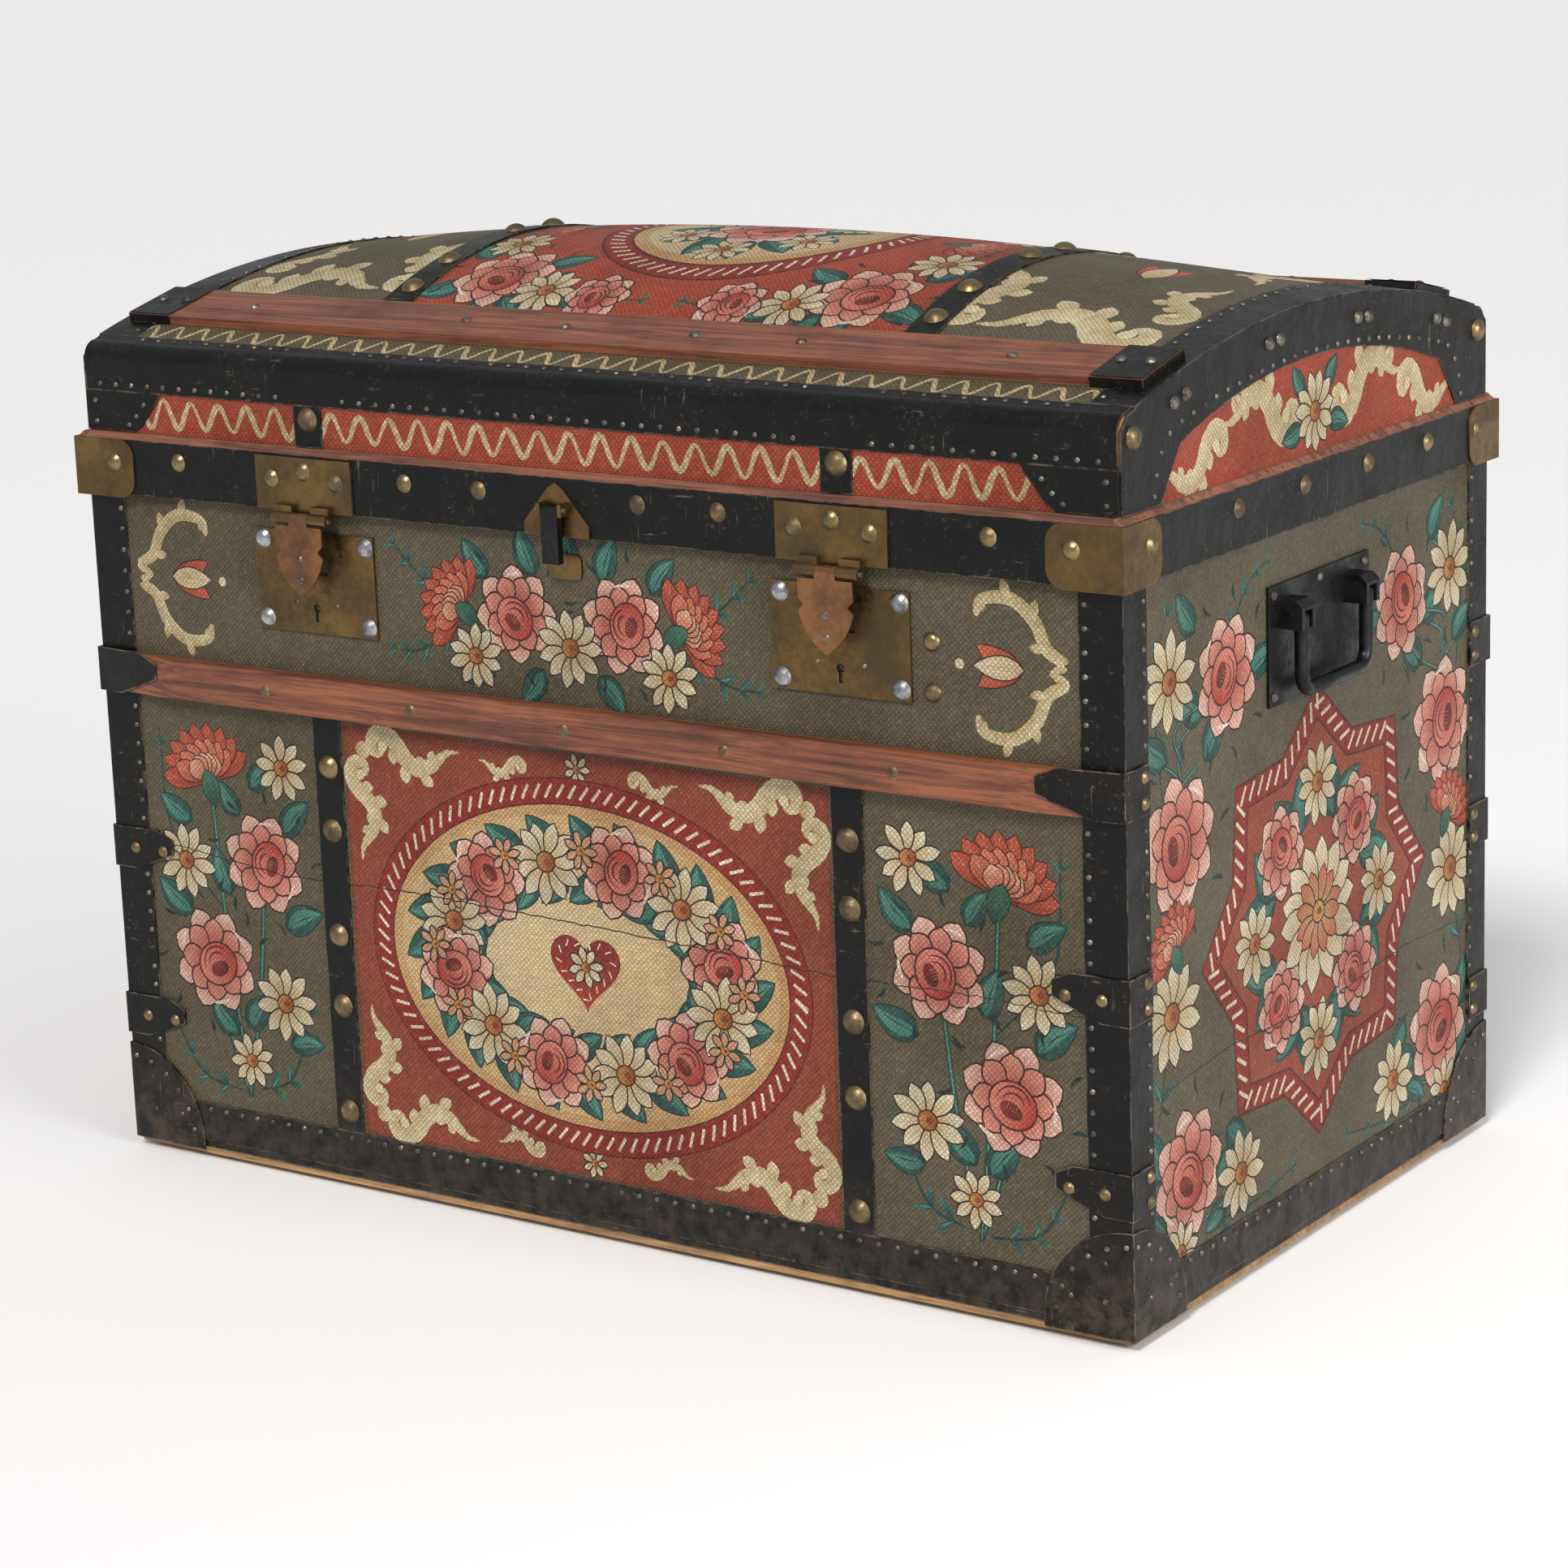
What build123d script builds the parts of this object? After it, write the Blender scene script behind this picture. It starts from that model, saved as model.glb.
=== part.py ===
from build123d import *
import math
import os

# Painted wedding chest with a domed lid: pine boards covered in painted canvas, bound with sheet metal.
# Millimetres, +Z up, the front faces -Y, and the origin is the middle of the chest's footprint on the floor.
os.makedirs("parts", exist_ok=True)

# Driving sizes of the body, measured over the metal bindings
body_width = 800.0
body_depth = 480.0
parting_height = 466.0
metal = 1.0
canvas = 1.0
board = 10.0
bottom_thickness = 12.0
lining = 1.0
seat_gap = 0.3

# Base
pad_height = 4.0
pad_width = 107.0
pad_inset = 8.0
base_strip_height = 5.0
binding_bottom = 14.0
bottom_binding_height = 27.5
cap_radius = 62.0
cap_drop = 7.0
cap_metal = 1.2

# Upright corner bindings, straps and the wooden slats of the body
binding_front_width = 30.0
binding_end_width = 27.0
strap_offset = 205.0
strap_width = 23.0
slat_drop = 136.5
slat_height = 27.0
slat_proud = 11.0
slat_end_proud = 2.0
slat_taper = 75.0
slat_round = 3.0
clamp_metal = 1.5
slat_clamp_tongue = 56.0
slat_clamp_width = 30.0
corner_clamp_tongue = 52.0
corner_clamp_width = 29.0
clamp_end_reach = 26.0
clamp_shares = (0.21, 0.468)

# Nails: radius and height of each kind of head
strap_nail = (8.0, 4.5)
band_nail = (6.0, 3.0)
clamp_nail = (4.0, 2.2)
slat_nail = (4.0, 1.6)
strap_nail_shares = (0.05, 0.307, 0.477, 0.727, 0.877)
slat_nail_share = 0.154
slat_nail_count = 5
band_nail_shares = (-0.777, -0.302, -0.153, 0.153, 0.302, 0.777)
band_end_nail_shares = (-0.44, -0.098, 0.244, 0.585)
band_nail_rise_share = 0.66
dome_nail_shares = (-0.833, -0.567, -0.08, 0.2, 0.72)
wall_nail_rise = 22.0
clamp_nail_inset = 9.0
clamp_nail_spread = 8.0
corner_nail_inset = 18.0

# Lid
lid_inset = 1.5
rim_height = 37.0
rim_proud_front = 7.5
rim_proud_end = 5.5
rim_slope = 4.0
edge_radius = 9.0
shoulder_offset = 150.0
lid_wall_height = 96.0
end_rise = 37.0
crown = 28.0
dome_board = 6.0
lid_slat_width = 48.0
lid_slat_thickness = 6.0
lid_slat_end_gap = 6.0
lid_strap_metal = 1.2
arch_flange = 29.0
arch_face = 32.0
arch_window_cut = 25.0
lid_corner_width = 44.0
edge_flange_drop = 30.0
edge_flange_top = 7.0
corner_plate_reach = 52.0
corner_plate_drop = 2.5
corner_plate_metal = 1.2
corner_plate_round = 12.0

# Locks and hasps
lock_plate_width = 100.0
lock_plate_height = 67.0
lock_plate_metal = 2.0
lock_plate_drop = 48.0
lock_nail = (6.5, 3.5)
lock_nail_inset = 7.0
case_width = 56.0
case_height = 40.0
case_depth = 8.0
case_wall = 1.0
bolt_length = 24.0
bolt_height = 10.0
bolt_thickness = 4.0
bolt_travel = 6.0
bolt_gap = 0.3
slot_width = 22.0
slot_height = 9.0
slot_rise = 10.0
keyhole_radius = 3.0
keyhole_drop = 17.0
hasp_plate_width = 80.0
hasp_plate_height = 35.0
hasp_metal = 1.5
hasp_pin_radius = 1.6
hasp_pin_gap = 0.05
hasp_barrel_radius = 4.0
hasp_knuckle_width = 46.0
hasp_length = 50.0
hasp_width = 39.0
hasp_notch = 4.0
hasp_nail_spread = 27.0
hasp_nail_rise = 20.0
hasp_top_nail_rise = 26.0
staple_reach = 4.5
staple_width = 16.0
staple_height = 6.0

# Centre catch
catch_plate_width = 50.0
catch_plate_height = 34.0
catch_hook_width = 13.0
catch_hook_length = 34.0
catch_hook_metal = 5.0
catch_pin_rise = 18.0
catch_keeper_width = 26.0
catch_keeper_height = 16.0

# End handles
handle_plate_width = 133.0
handle_plate_height = 75.0
handle_plate_metal = 2.0
handle_plate_hang = 15.5
handle_ear_offset = 43.0
handle_cheek = 4.0
handle_cheek_gap = 0.4
handle_ear_rise = 12.0
handle_ear_drop = 6.0
handle_cover_gap = 1.0
handle_ear_out = 15.0
handle_axis_drop = 54.0
handle_axis_out = 9.0
handle_wire = 4.5
handle_pin_radius = 3.0
handle_pin_gap = 0.08
handle_drop = 46.0

# Hinges
hinge_offset = 250.0
hinge_width = 60.0
hinge_leaf_height = 34.0
hinge_leaf_metal = 1.5
hinge_barrel_radius = 4.5
hinge_pin_radius = 2.0
hinge_pin_gap = 0.05
hinge_out = 5.0
knuckle_gap = 0.3
hinge_knuckles = 5

# Sizes worked out from the ones above
half_w = body_width / 2
half_d = body_depth / 2
canvas_w = half_w - metal
canvas_d = half_d - metal
board_w = canvas_w - canvas
board_d = canvas_d - canvas
inner_w = board_w - board
inner_d = board_d - board
floor_z = pad_height + bottom_thickness
wall_top = parting_height
lid_bottom = parting_height + seat_gap
lid_w = half_w - lid_inset - canvas
lid_d = half_d - lid_inset - canvas
lid_canvas_w = lid_w + canvas
lid_canvas_d = lid_d + canvas
rim_top = parting_height + rim_height
rim_d = lid_d + rim_proud_front
rim_w = lid_w + rim_proud_end
edge_y = lid_d - edge_radius
band_face_d = rim_d + metal
band_face_w = rim_w + metal
slat_bottom = parting_height - slat_drop
slat_top = slat_bottom + slat_height
strap_foot = binding_bottom + bottom_binding_height
strap_nail_heights = [strap_foot + share * (slat_bottom - strap_foot) for share in strap_nail_shares]
clamp_heights = [share * parting_height for share in clamp_shares]
slat_nail_pitch = slat_nail_share * body_width
spring_height = parting_height + lid_wall_height
lock_plate_middle = parting_height - lock_plate_drop
lock_nail_u = lock_plate_width / 2 - lock_nail_inset
lock_nail_v = lock_plate_height / 2 - lock_nail_inset
catch_pin_height = parting_height + catch_pin_rise
handle_axis_height = parting_height - handle_axis_drop
handle_plate_middle = handle_axis_height - handle_plate_hang
hinge_y = band_face_d + hinge_out
hasp_y = band_face_d + hasp_metal + hasp_barrel_radius
hasp_z = parting_height - hasp_barrel_radius
lock_face = canvas_d + lock_plate_metal
corner_signs = [(sx, sy) for sx in (-1, 1) for sy in (-1, 1)]


def side(name, out):
    """The plane of one side of the chest, at a distance from its middle, with local Y pointing up."""
    along = {"front": (1, 0, 0), "back": (-1, 0, 0), "right": (0, 1, 0), "left": (0, -1, 0)}[name]
    outward = {"front": (0, -1, 0), "back": (0, 1, 0), "right": (1, 0, 0), "left": (-1, 0, 0)}[name]
    origin = tuple(out * n for n in outward)
    return Plane(origin=origin, x_dir=along, z_dir=outward)


def patch(u0, u1, v0, v1, mode=Mode.ADD):
    """A rectangle between two corners, in the sketch that is open."""
    with Locations(((u0 + u1) / 2, (v0 + v1) / 2)):
        Rectangle(abs(u1 - u0), abs(v1 - v0), mode=mode)


def box_between(x0, x1, y0, y1, z0, z1, mode=Mode.ADD):
    """A block between two corners, in the part that is open."""
    with BuildSketch(Plane.XY.offset(z0)) as footprint:
        patch(x0, x1, y0, y1)
    extrude(footprint.sketch, amount=z1 - z0, mode=mode)


def nail_head(plane, u, v, size):
    """A domed nail head seated on a plane, in the part that is open."""
    radius, height = size
    ball = (radius * radius + height * height) / (2 * height)
    latitude = math.degrees(math.asin((ball - height) / ball))
    with Locations(plane.location * Location((u, v, height - ball))):
        Sphere(ball, arc_size1=latitude, align=None)


def finish(part, name):
    part.label = name
    export_step(part, "parts/" + name + ".step")


def arch(y, half, rise):
    """Height at y of a circular arch over a chord from -half to half."""
    radius = (half * half + rise * rise) / (2 * rise)
    return math.sqrt(radius * radius - y * y) - (radius - rise)


def end_line(y):
    """Height of the lid's canvas at its ends, a shallow arch across the depth."""
    return spring_height + arch(y, lid_canvas_d, end_rise)


def top_rise(x):
    """Rise of the arch between the lid's slats at x, fullest halfway along the lid."""
    at_end = end_line(0) - end_line(shoulder_offset)
    return at_end + crown * (1 - (x / lid_canvas_w) ** 2)


def dome_height(x, y):
    """Height of the dome's canvas: end arch on the shoulders, a fuller arch between the lid's slats."""
    if abs(y) > shoulder_offset:
        return end_line(y)
    return end_line(shoulder_offset) + arch(y, shoulder_offset, top_rise(x))


def dome_curve(x, reach, lift):
    """The dome's outline at x from -reach to reach: two shoulder arcs and the top arc."""
    mid = (shoulder_offset + reach) / 2
    outer = (reach, end_line(reach) + lift)
    knee = (shoulder_offset, end_line(shoulder_offset) + lift)
    middle = (mid, end_line(mid) + lift)
    top = (0, dome_height(x, 0) + lift)
    ThreePointArc((-outer[0], outer[1]), (-middle[0], middle[1]), (-knee[0], knee[1]))
    ThreePointArc((-knee[0], knee[1]), top, knee)
    ThreePointArc(knee, middle, outer)


def dome_section(x, reach, low, high):
    """A slice of the dome at x, between two lifts above its canvas."""
    with BuildSketch(Plane.YZ.offset(x)) as section:
        with BuildLine():
            dome_curve(x, reach, high)
            Line((reach, end_line(reach) + high), (reach, end_line(reach) + low))
            dome_curve(x, reach, low)
            Line((-reach, end_line(reach) + low), (-reach, end_line(reach) + high))
        make_face()
    return section.sketch


def dome_strip(x0, x1, reach, low, high):
    """A strip across the dome from x0 to x1."""
    sections = [dome_section(x0, reach, low, high), dome_section(x1, reach, low, high)]
    loft(sections, ruled=True)


# Base pads: two coarse fibre pads that the chest stands on
with BuildPart() as base_pads:
    for sx in (-1, 1):
        outer = sx * (board_w - pad_inset)
        inner = sx * (board_w - pad_inset - pad_width)
        box_between(outer, inner, -board_d + pad_inset, board_d - pad_inset, 0, pad_height)
finish(base_pads.part, "base_pads")

# Bottom board
with BuildPart() as bottom_board:
    box_between(-board_w, board_w, -board_d, board_d, pad_height, floor_z)
finish(bottom_board.part, "bottom_board")

# Thin steel edge strips round the bottom board, under the bindings
with BuildPart() as base_strips:
    strip_bottom = binding_bottom - base_strip_height
    for sy in (-1, 1):
        box_between(-board_w, board_w, sy * board_d, sy * canvas_d, strip_bottom, binding_bottom)
    for sx in (-1, 1):
        box_between(sx * board_w, sx * canvas_w, -board_d, board_d, strip_bottom, binding_bottom)
finish(base_strips.part, "base_edge_strips")

# Front board with its two lock pockets
with BuildPart() as front_board:
    box_between(-board_w, board_w, -board_d, -inner_d, floor_z, wall_top)
    for sx in (-1, 1):
        with BuildSketch(side("front", board_d)):
            with Locations((sx * strap_offset, lock_plate_middle)):
                Rectangle(case_width, case_height)
        extrude(amount=-case_depth, mode=Mode.SUBTRACT)
finish(front_board.part, "front_board")

with BuildPart() as back_board:
    box_between(-board_w, board_w, inner_d, board_d, floor_z, wall_top)
finish(back_board.part, "back_board")

for end_name, sx in (("left", -1), ("right", 1)):
    with BuildPart() as end_board:
        box_between(sx * inner_w, sx * board_w, -inner_d, inner_d, floor_z, wall_top)
    finish(end_board.part, end_name + "_end_board")

# Paper lining: five sheets pasted inside the body
with BuildPart() as body_lining:
    box_between(-inner_w, inner_w, -inner_d, inner_d, floor_z, floor_z + lining)
    low = floor_z + lining
    for sy in (-1, 1):
        box_between(-inner_w, inner_w, sy * inner_d, sy * (inner_d - lining), low, wall_top)
    for sx in (-1, 1):
        side_d = inner_d - lining
        box_between(sx * inner_w, sx * (inner_w - lining), -side_d, side_d, low, wall_top)
finish(body_lining.part, "body_lining")

# Painted canvas pasted on the four walls; the front sheet is cut round the lock pockets' slots
with BuildPart() as front_canvas:
    box_between(-board_w, board_w, -canvas_d, -board_d, binding_bottom, wall_top)
    for sx in (-1, 1):
        with BuildSketch(side("front", board_d)):
            with Locations((sx * strap_offset, lock_plate_middle)):
                Rectangle(case_width, case_height)
        extrude(amount=canvas, mode=Mode.SUBTRACT)
finish(front_canvas.part, "front_canvas")

with BuildPart() as back_canvas:
    box_between(-board_w, board_w, board_d, canvas_d, binding_bottom, wall_top)
finish(back_canvas.part, "back_canvas")

with BuildPart() as end_canvases:
    for sx in (-1, 1):
        box_between(sx * board_w, sx * canvas_w, -board_d, board_d, binding_bottom, wall_top)
finish(end_canvases.part, "end_canvases")

# Upright corner bindings, folded round each corner
with BuildPart() as corner_bindings:
    with BuildSketch(Plane.XY.offset(binding_bottom)):
        for sx, sy in corner_signs:
            patch(sx * half_w, sx * (half_w - binding_front_width), sy * half_d, sy * canvas_d)
            patch(sx * half_w, sx * canvas_w, sy * half_d, sy * (half_d - binding_end_width))
    extrude(amount=wall_top - binding_bottom)
finish(corner_bindings.part, "corner_bindings")

# Bottom bindings between the corner bindings
with BuildPart() as bottom_bindings:
    top = binding_bottom + bottom_binding_height
    reach_x = half_w - binding_front_width
    reach_y = half_d - binding_end_width
    for sy in (-1, 1):
        box_between(-reach_x, reach_x, sy * canvas_d, sy * half_d, binding_bottom, top)
    for sx in (-1, 1):
        box_between(sx * canvas_w, sx * half_w, -reach_y, reach_y, binding_bottom, top)
finish(bottom_bindings.part, "bottom_bindings")

# Corner caps at the bottom: a quarter round on each face, folded round the corner
with BuildPart() as bottom_caps:
    for sx, sy in corner_signs:
        with BuildSketch(Plane.XY.offset(binding_bottom - cap_drop)):
            patch(sx * (half_w + cap_metal), sx * (half_w - cap_radius), sy * (half_d + cap_metal), sy * half_d)
            patch(sx * (half_w + cap_metal), sx * half_w, sy * (half_d + cap_metal), sy * (half_d - cap_radius))
        extrude(amount=cap_drop + cap_radius)
    for name, width in (("front", half_w), ("right", half_d)):
        reach = half_d + half_w
        with BuildSketch(side(name, -reach)):
            patch(-reach, reach, 0, binding_bottom + cap_radius + cap_drop)
            for s in (-1, 1):
                patch(s * (width + 2 * cap_metal), s * (width - cap_radius), 0, binding_bottom, Mode.SUBTRACT)
                with Locations((s * width, binding_bottom)):
                    Circle(cap_radius, mode=Mode.SUBTRACT)
        extrude(amount=2 * reach, mode=Mode.SUBTRACT)
finish(bottom_caps.part, "bottom_corner_caps")

# Wooden slats across the front and back, thinned towards their ends
for name, sy in (("front", -1), ("back", 1)):
    with BuildPart() as body_slat:
        with BuildSketch(Plane.XY.offset(slat_bottom)):
            with BuildLine():
                seat = sy * half_d
                tip = sy * (half_d + slat_end_proud)
                face = sy * (half_d + slat_proud)
                full = half_w - slat_taper
                Polyline(
                    (-half_w, seat), (-half_w, tip), (-full, face), (full, face),
                    (half_w, tip), (half_w, seat), close=True,
                )
            make_face()
        extrude(amount=slat_height)
        long_edges = body_slat.edges().filter_by(Axis.X).group_by(Axis.Y)[0 if sy < 0 else -1]
        fillet(long_edges, slat_round)
    finish(body_slat.part, name + "_slat")


def slat_clamp(sx, sy):
    """One clamp over a slat's end: a folded strip cut to a tongue on the slat."""
    tip = half_d + slat_end_proud
    face = half_d + slat_proud
    run = slat_clamp_tongue
    drop = (face - tip) * run / slat_taper
    inner_line = [(half_w - run, tip + drop), (half_w, tip), (half_w, half_d - clamp_end_reach)]
    outer_line = [
        (half_w + clamp_metal, half_d - clamp_end_reach),
        (half_w + clamp_metal, tip + clamp_metal),
        (half_w - run, tip + drop + clamp_metal),
    ]
    with BuildSketch(Plane.XY.offset(slat_bottom + slat_height / 2 - slat_clamp_width / 2)) as fold:
        with BuildLine():
            Polyline(*[(sx * x, sy * y) for x, y in inner_line + outer_line], close=True)
        make_face()
    extrude(fold.sketch, amount=slat_clamp_width)


def tongue_cut(name, s, base, run, width, middle):
    """Cuts a clamp's plate to a rounded tongue on one side of the chest."""
    reach = half_w + half_d
    tip = s * (base - run)
    shoulder = s * (base - run * 0.35)
    with BuildSketch(side(name, 0)) as waste:
        with BuildLine():
            high = middle + width / 2
            low = middle - width / 2
            tip_low = middle - width * 0.05
            slope = tip + s * run * 0.25
            Polyline((tip, high + 1), (tip, middle + width * 0.3), (slope, high), (slope, high + 1), close=True)
        make_face()
        with BuildLine():
            Polyline((tip, tip_low), (tip, low - 1), (shoulder, low - 1), (shoulder, low), close=True)
        make_face()
    extrude(waste.sketch, amount=reach, mode=Mode.SUBTRACT)


with BuildPart() as slat_clamps:
    for sx, sy in corner_signs:
        slat_clamp(sx, sy)
    slat_middle = slat_bottom + slat_height / 2
    for name, flip in (("front", 1), ("back", 1)):
        for s in (-1, 1):
            tongue_cut(name, s * flip, half_w, slat_clamp_tongue, slat_clamp_width, slat_middle)
finish(slat_clamps.part, "slat_clamps")

# Clamps folded round the upright bindings, below the slat
with BuildPart() as corner_clamps:
    for middle in clamp_heights:
        with BuildSketch(Plane.XY.offset(middle - corner_clamp_width / 2)):
            for sx, sy in corner_signs:
                far_x = half_w + clamp_metal
                far_y = half_d + clamp_metal
                patch(sx * far_x, sx * (half_w - corner_clamp_tongue), sy * half_d, sy * far_y)
                patch(sx * half_w, sx * far_x, sy * far_y, sy * (half_d - clamp_end_reach))
        extrude(amount=corner_clamp_width)
        for name in ("front", "back"):
            for s in (-1, 1):
                tongue_cut(name, s, half_w, corner_clamp_tongue, corner_clamp_width, middle)
finish(corner_clamps.part, "corner_clamps")

# Sheet-metal straps below the slat
with BuildPart() as body_straps:
    for name in ("front", "back"):
        with BuildSketch(side(name, canvas_d)):
            for s in (-1, 1):
                middle = s * strap_offset
                low = binding_bottom + bottom_binding_height
                patch(middle - strap_width / 2, middle + strap_width / 2, low, slat_bottom)
        extrude(amount=metal)
finish(body_straps.part, "body_straps")

# Nails of the body
with BuildPart() as strap_nails:
    for name in ("front", "back"):
        for s in (-1, 1):
            for height in strap_nail_heights:
                nail_head(side(name, half_d), s * strap_offset, height, strap_nail)
finish(strap_nails.part, "strap_nails")

with BuildPart() as slat_nails:
    for name in ("front", "back"):
        for i in range(slat_nail_count):
            u = (i - (slat_nail_count - 1) / 2) * slat_nail_pitch
            nail_head(side(name, half_d + slat_proud), u, slat_middle, slat_nail)
finish(slat_nails.part, "slat_nails")

with BuildPart() as clamp_nails:
    for name in ("front", "back"):
        for s in (-1, 1):
            for middle in clamp_heights:
                for u in (corner_clamp_tongue - clamp_nail_inset, corner_nail_inset):
                    nail_head(side(name, half_d + clamp_metal), s * (half_w - u), middle, clamp_nail)
    for name in ("left", "right"):
        for s in (-1, 1):
            for middle in clamp_heights + [slat_middle]:
                for v in (-clamp_nail_spread, clamp_nail_spread):
                    u = s * (half_d - clamp_end_reach + 6)
                    nail_head(side(name, half_w + clamp_metal), u, middle + v, clamp_nail)
finish(clamp_nails.part, "clamp_nails")

# Lock plates with keyhole and hasp slot, their nails, cases and bolts
slot_middle = lock_plate_middle + slot_rise
keyhole_middle = lock_plate_middle - keyhole_drop
with BuildPart() as lock_plates:
    with BuildSketch(side("front", canvas_d)):
        with Locations((-strap_offset, 0), (strap_offset, 0)):
            with Locations((0, lock_plate_middle)):
                Rectangle(lock_plate_width, lock_plate_height)
            with Locations((0, slot_middle)):
                Rectangle(slot_width, slot_height, mode=Mode.SUBTRACT)
            with Locations((0, keyhole_middle)):
                Circle(keyhole_radius, mode=Mode.SUBTRACT)
            with Locations((0, keyhole_middle - 1.5 * keyhole_radius)):
                Rectangle(keyhole_radius, 3 * keyhole_radius, mode=Mode.SUBTRACT)
    extrude(amount=lock_plate_metal)
finish(lock_plates.part, "lock_plates")

with BuildPart() as lock_cases:
    with BuildSketch(side("front", canvas_d)):
        with Locations((-strap_offset, lock_plate_middle), (strap_offset, lock_plate_middle)):
            Rectangle(case_width - 2 * seat_gap, case_height - 2 * seat_gap)
    extrude(amount=-(case_depth + canvas - seat_gap))
    with BuildSketch(side("front", canvas_d)):
        with Locations((-strap_offset, lock_plate_middle), (strap_offset, lock_plate_middle)):
            Rectangle(case_width - 2 * seat_gap - 2 * case_wall, case_height - 2 * seat_gap - 2 * case_wall)
    extrude(amount=-(case_depth + canvas - seat_gap - case_wall), mode=Mode.SUBTRACT)
finish(lock_cases.part, "lock_cases")

for end_name, sx in (("left", -1), ("right", 1)):
    with BuildPart() as lock_bolt:
        start = sx * strap_offset - bolt_travel / 2 - bolt_length / 2
        back_y = -canvas_d + case_depth + canvas - seat_gap - case_wall - bolt_gap
        z0 = slot_middle - bolt_height / 2
        box_between(start, start + bolt_length, back_y - bolt_thickness, back_y, z0, z0 + bolt_height)
    finish(lock_bolt.part, end_name + "_lock_bolt")

with BuildPart() as lock_nails:
    for s in (-1, 1):
        for du in (-lock_nail_u, lock_nail_u):
            for dv in (-lock_nail_v, lock_nail_v):
                nail_head(side("front", lock_face), s * strap_offset + du, lock_plate_middle + dv, lock_nail)
finish(lock_nails.part, "lock_nails")

# Keeper of the centre catch, on the body's canvas
with BuildPart() as catch_keeper:
    with BuildSketch(side("front", canvas_d)):
        with Locations((0, catch_pin_height - catch_hook_length - catch_keeper_height / 4)):
            RectangleRounded(catch_keeper_width, catch_keeper_height, catch_keeper_height / 4)
    extrude(amount=lock_plate_metal)
finish(catch_keeper.part, "catch_keeper")

# End handles: plate, two ears with their bores, and a bail that hangs in them
axis_x = half_w + handle_plate_metal + handle_axis_out
for end_name, sx in (("left", -1), ("right", 1)):
    plate_seat = canvas_w
    with BuildPart() as handle_plate:
        with BuildSketch(side(end_name, plate_seat)):
            with Locations((0, handle_plate_middle)):
                Rectangle(handle_plate_width, handle_plate_height)
        extrude(amount=handle_plate_metal)
        plate_face = plate_seat + handle_plate_metal
        low = handle_axis_height - handle_ear_drop
        high = handle_axis_height + handle_ear_rise
        inside = handle_wire + handle_cheek_gap
        with BuildSketch(side(end_name, plate_face)):
            for s in (-1, 1):
                middle = s * handle_ear_offset
                patch(middle - inside - handle_cheek, middle + inside + handle_cheek, low, high)
        extrude(amount=handle_ear_out)
        with BuildSketch(side(end_name, plate_face)):
            for s in (-1, 1):
                middle = s * handle_ear_offset
                cover = handle_axis_height + handle_wire + handle_cover_gap
                patch(middle - inside, middle + inside, low, cover)
        extrude(amount=handle_ear_out, mode=Mode.SUBTRACT)
        with BuildSketch(Plane.XZ.offset(-handle_plate_width)):
            with Locations((sx * axis_x, handle_axis_height)):
                Circle(handle_pin_radius + handle_pin_gap)
        extrude(amount=2 * handle_plate_width, mode=Mode.SUBTRACT)
        top_edges = handle_plate.edges().filter_by(Axis.Y).group_by(Axis.X)[0 if sx < 0 else -1]
        chamfer(top_edges.group_by(Axis.Z)[-1], handle_wire)
    finish(handle_plate.part, end_name + "_handle_plate")
    with BuildPart() as handle_bail:
        leg = handle_ear_offset
        bottom_z = handle_axis_height - handle_drop
        with BuildLine() as bail_line:
            FilletPolyline(
                (sx * axis_x, -leg, handle_axis_height), (sx * axis_x, -leg, bottom_z),
                (sx * axis_x, leg, bottom_z), (sx * axis_x, leg, handle_axis_height),
                radius=2.5 * handle_wire,
            )
        with BuildSketch(Plane(origin=(sx * axis_x, -leg, handle_axis_height), z_dir=(0, 0, -1))):
            Circle(handle_wire)
        sweep()
        for s in (-1, 1):
            with Locations((sx * axis_x, s * leg, handle_axis_height)):
                Sphere(handle_wire)
            pin_reach = handle_wire + handle_cheek_gap + handle_cheek
            with BuildSketch(Plane.XZ.offset(-s * leg - pin_reach)):
                with Locations((sx * axis_x, handle_axis_height)):
                    Circle(handle_pin_radius)
            extrude(amount=2 * pin_reach)
    finish(handle_bail.part, end_name + "_handle_bail")

# Lid walls: the long boards have a rounded top edge, the dome's staves lie between them
dome_low = -canvas - dome_board
edge_top = end_line(edge_y) - canvas
for name, s in (("front", -1), ("back", 1)):
    with BuildPart() as lid_long_board:
        with BuildSketch(Plane.YZ.offset(-lid_w)):
            with BuildLine():
                corner = (s * edge_y, edge_top - edge_radius)
                turn = edge_radius * math.sqrt(0.5)
                Line((s * lid_d, lid_bottom), (s * lid_d, corner[1]))
                ThreePointArc((s * lid_d, corner[1]), (s * (edge_y + turn), corner[1] + turn), (s * edge_y, edge_top))
                Polyline(
                    (s * edge_y, edge_top), (s * edge_y, edge_top - dome_board),
                    (s * (lid_d - board), edge_top - dome_board), (s * (lid_d - board), lid_bottom),
                    (s * lid_d, lid_bottom),
                )
            make_face()
        extrude(amount=2 * lid_w)
    finish(lid_long_board.part, "lid_" + name + "_board")

for end_name, sx in (("left", -1), ("right", 1)):
    with BuildPart() as lid_end_board:
        reach = lid_d - board
        with BuildSketch(Plane.YZ.offset(sx * (lid_w - (board if sx > 0 else 0)))):
            with BuildLine():
                dome_curve(lid_w, reach, dome_low)
                top = end_line(reach) + dome_low
                Polyline((reach, top), (reach, lid_bottom), (-reach, lid_bottom), (-reach, top))
            make_face()
        extrude(amount=board)
    finish(lid_end_board.part, "lid_" + end_name + "_board")

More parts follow.
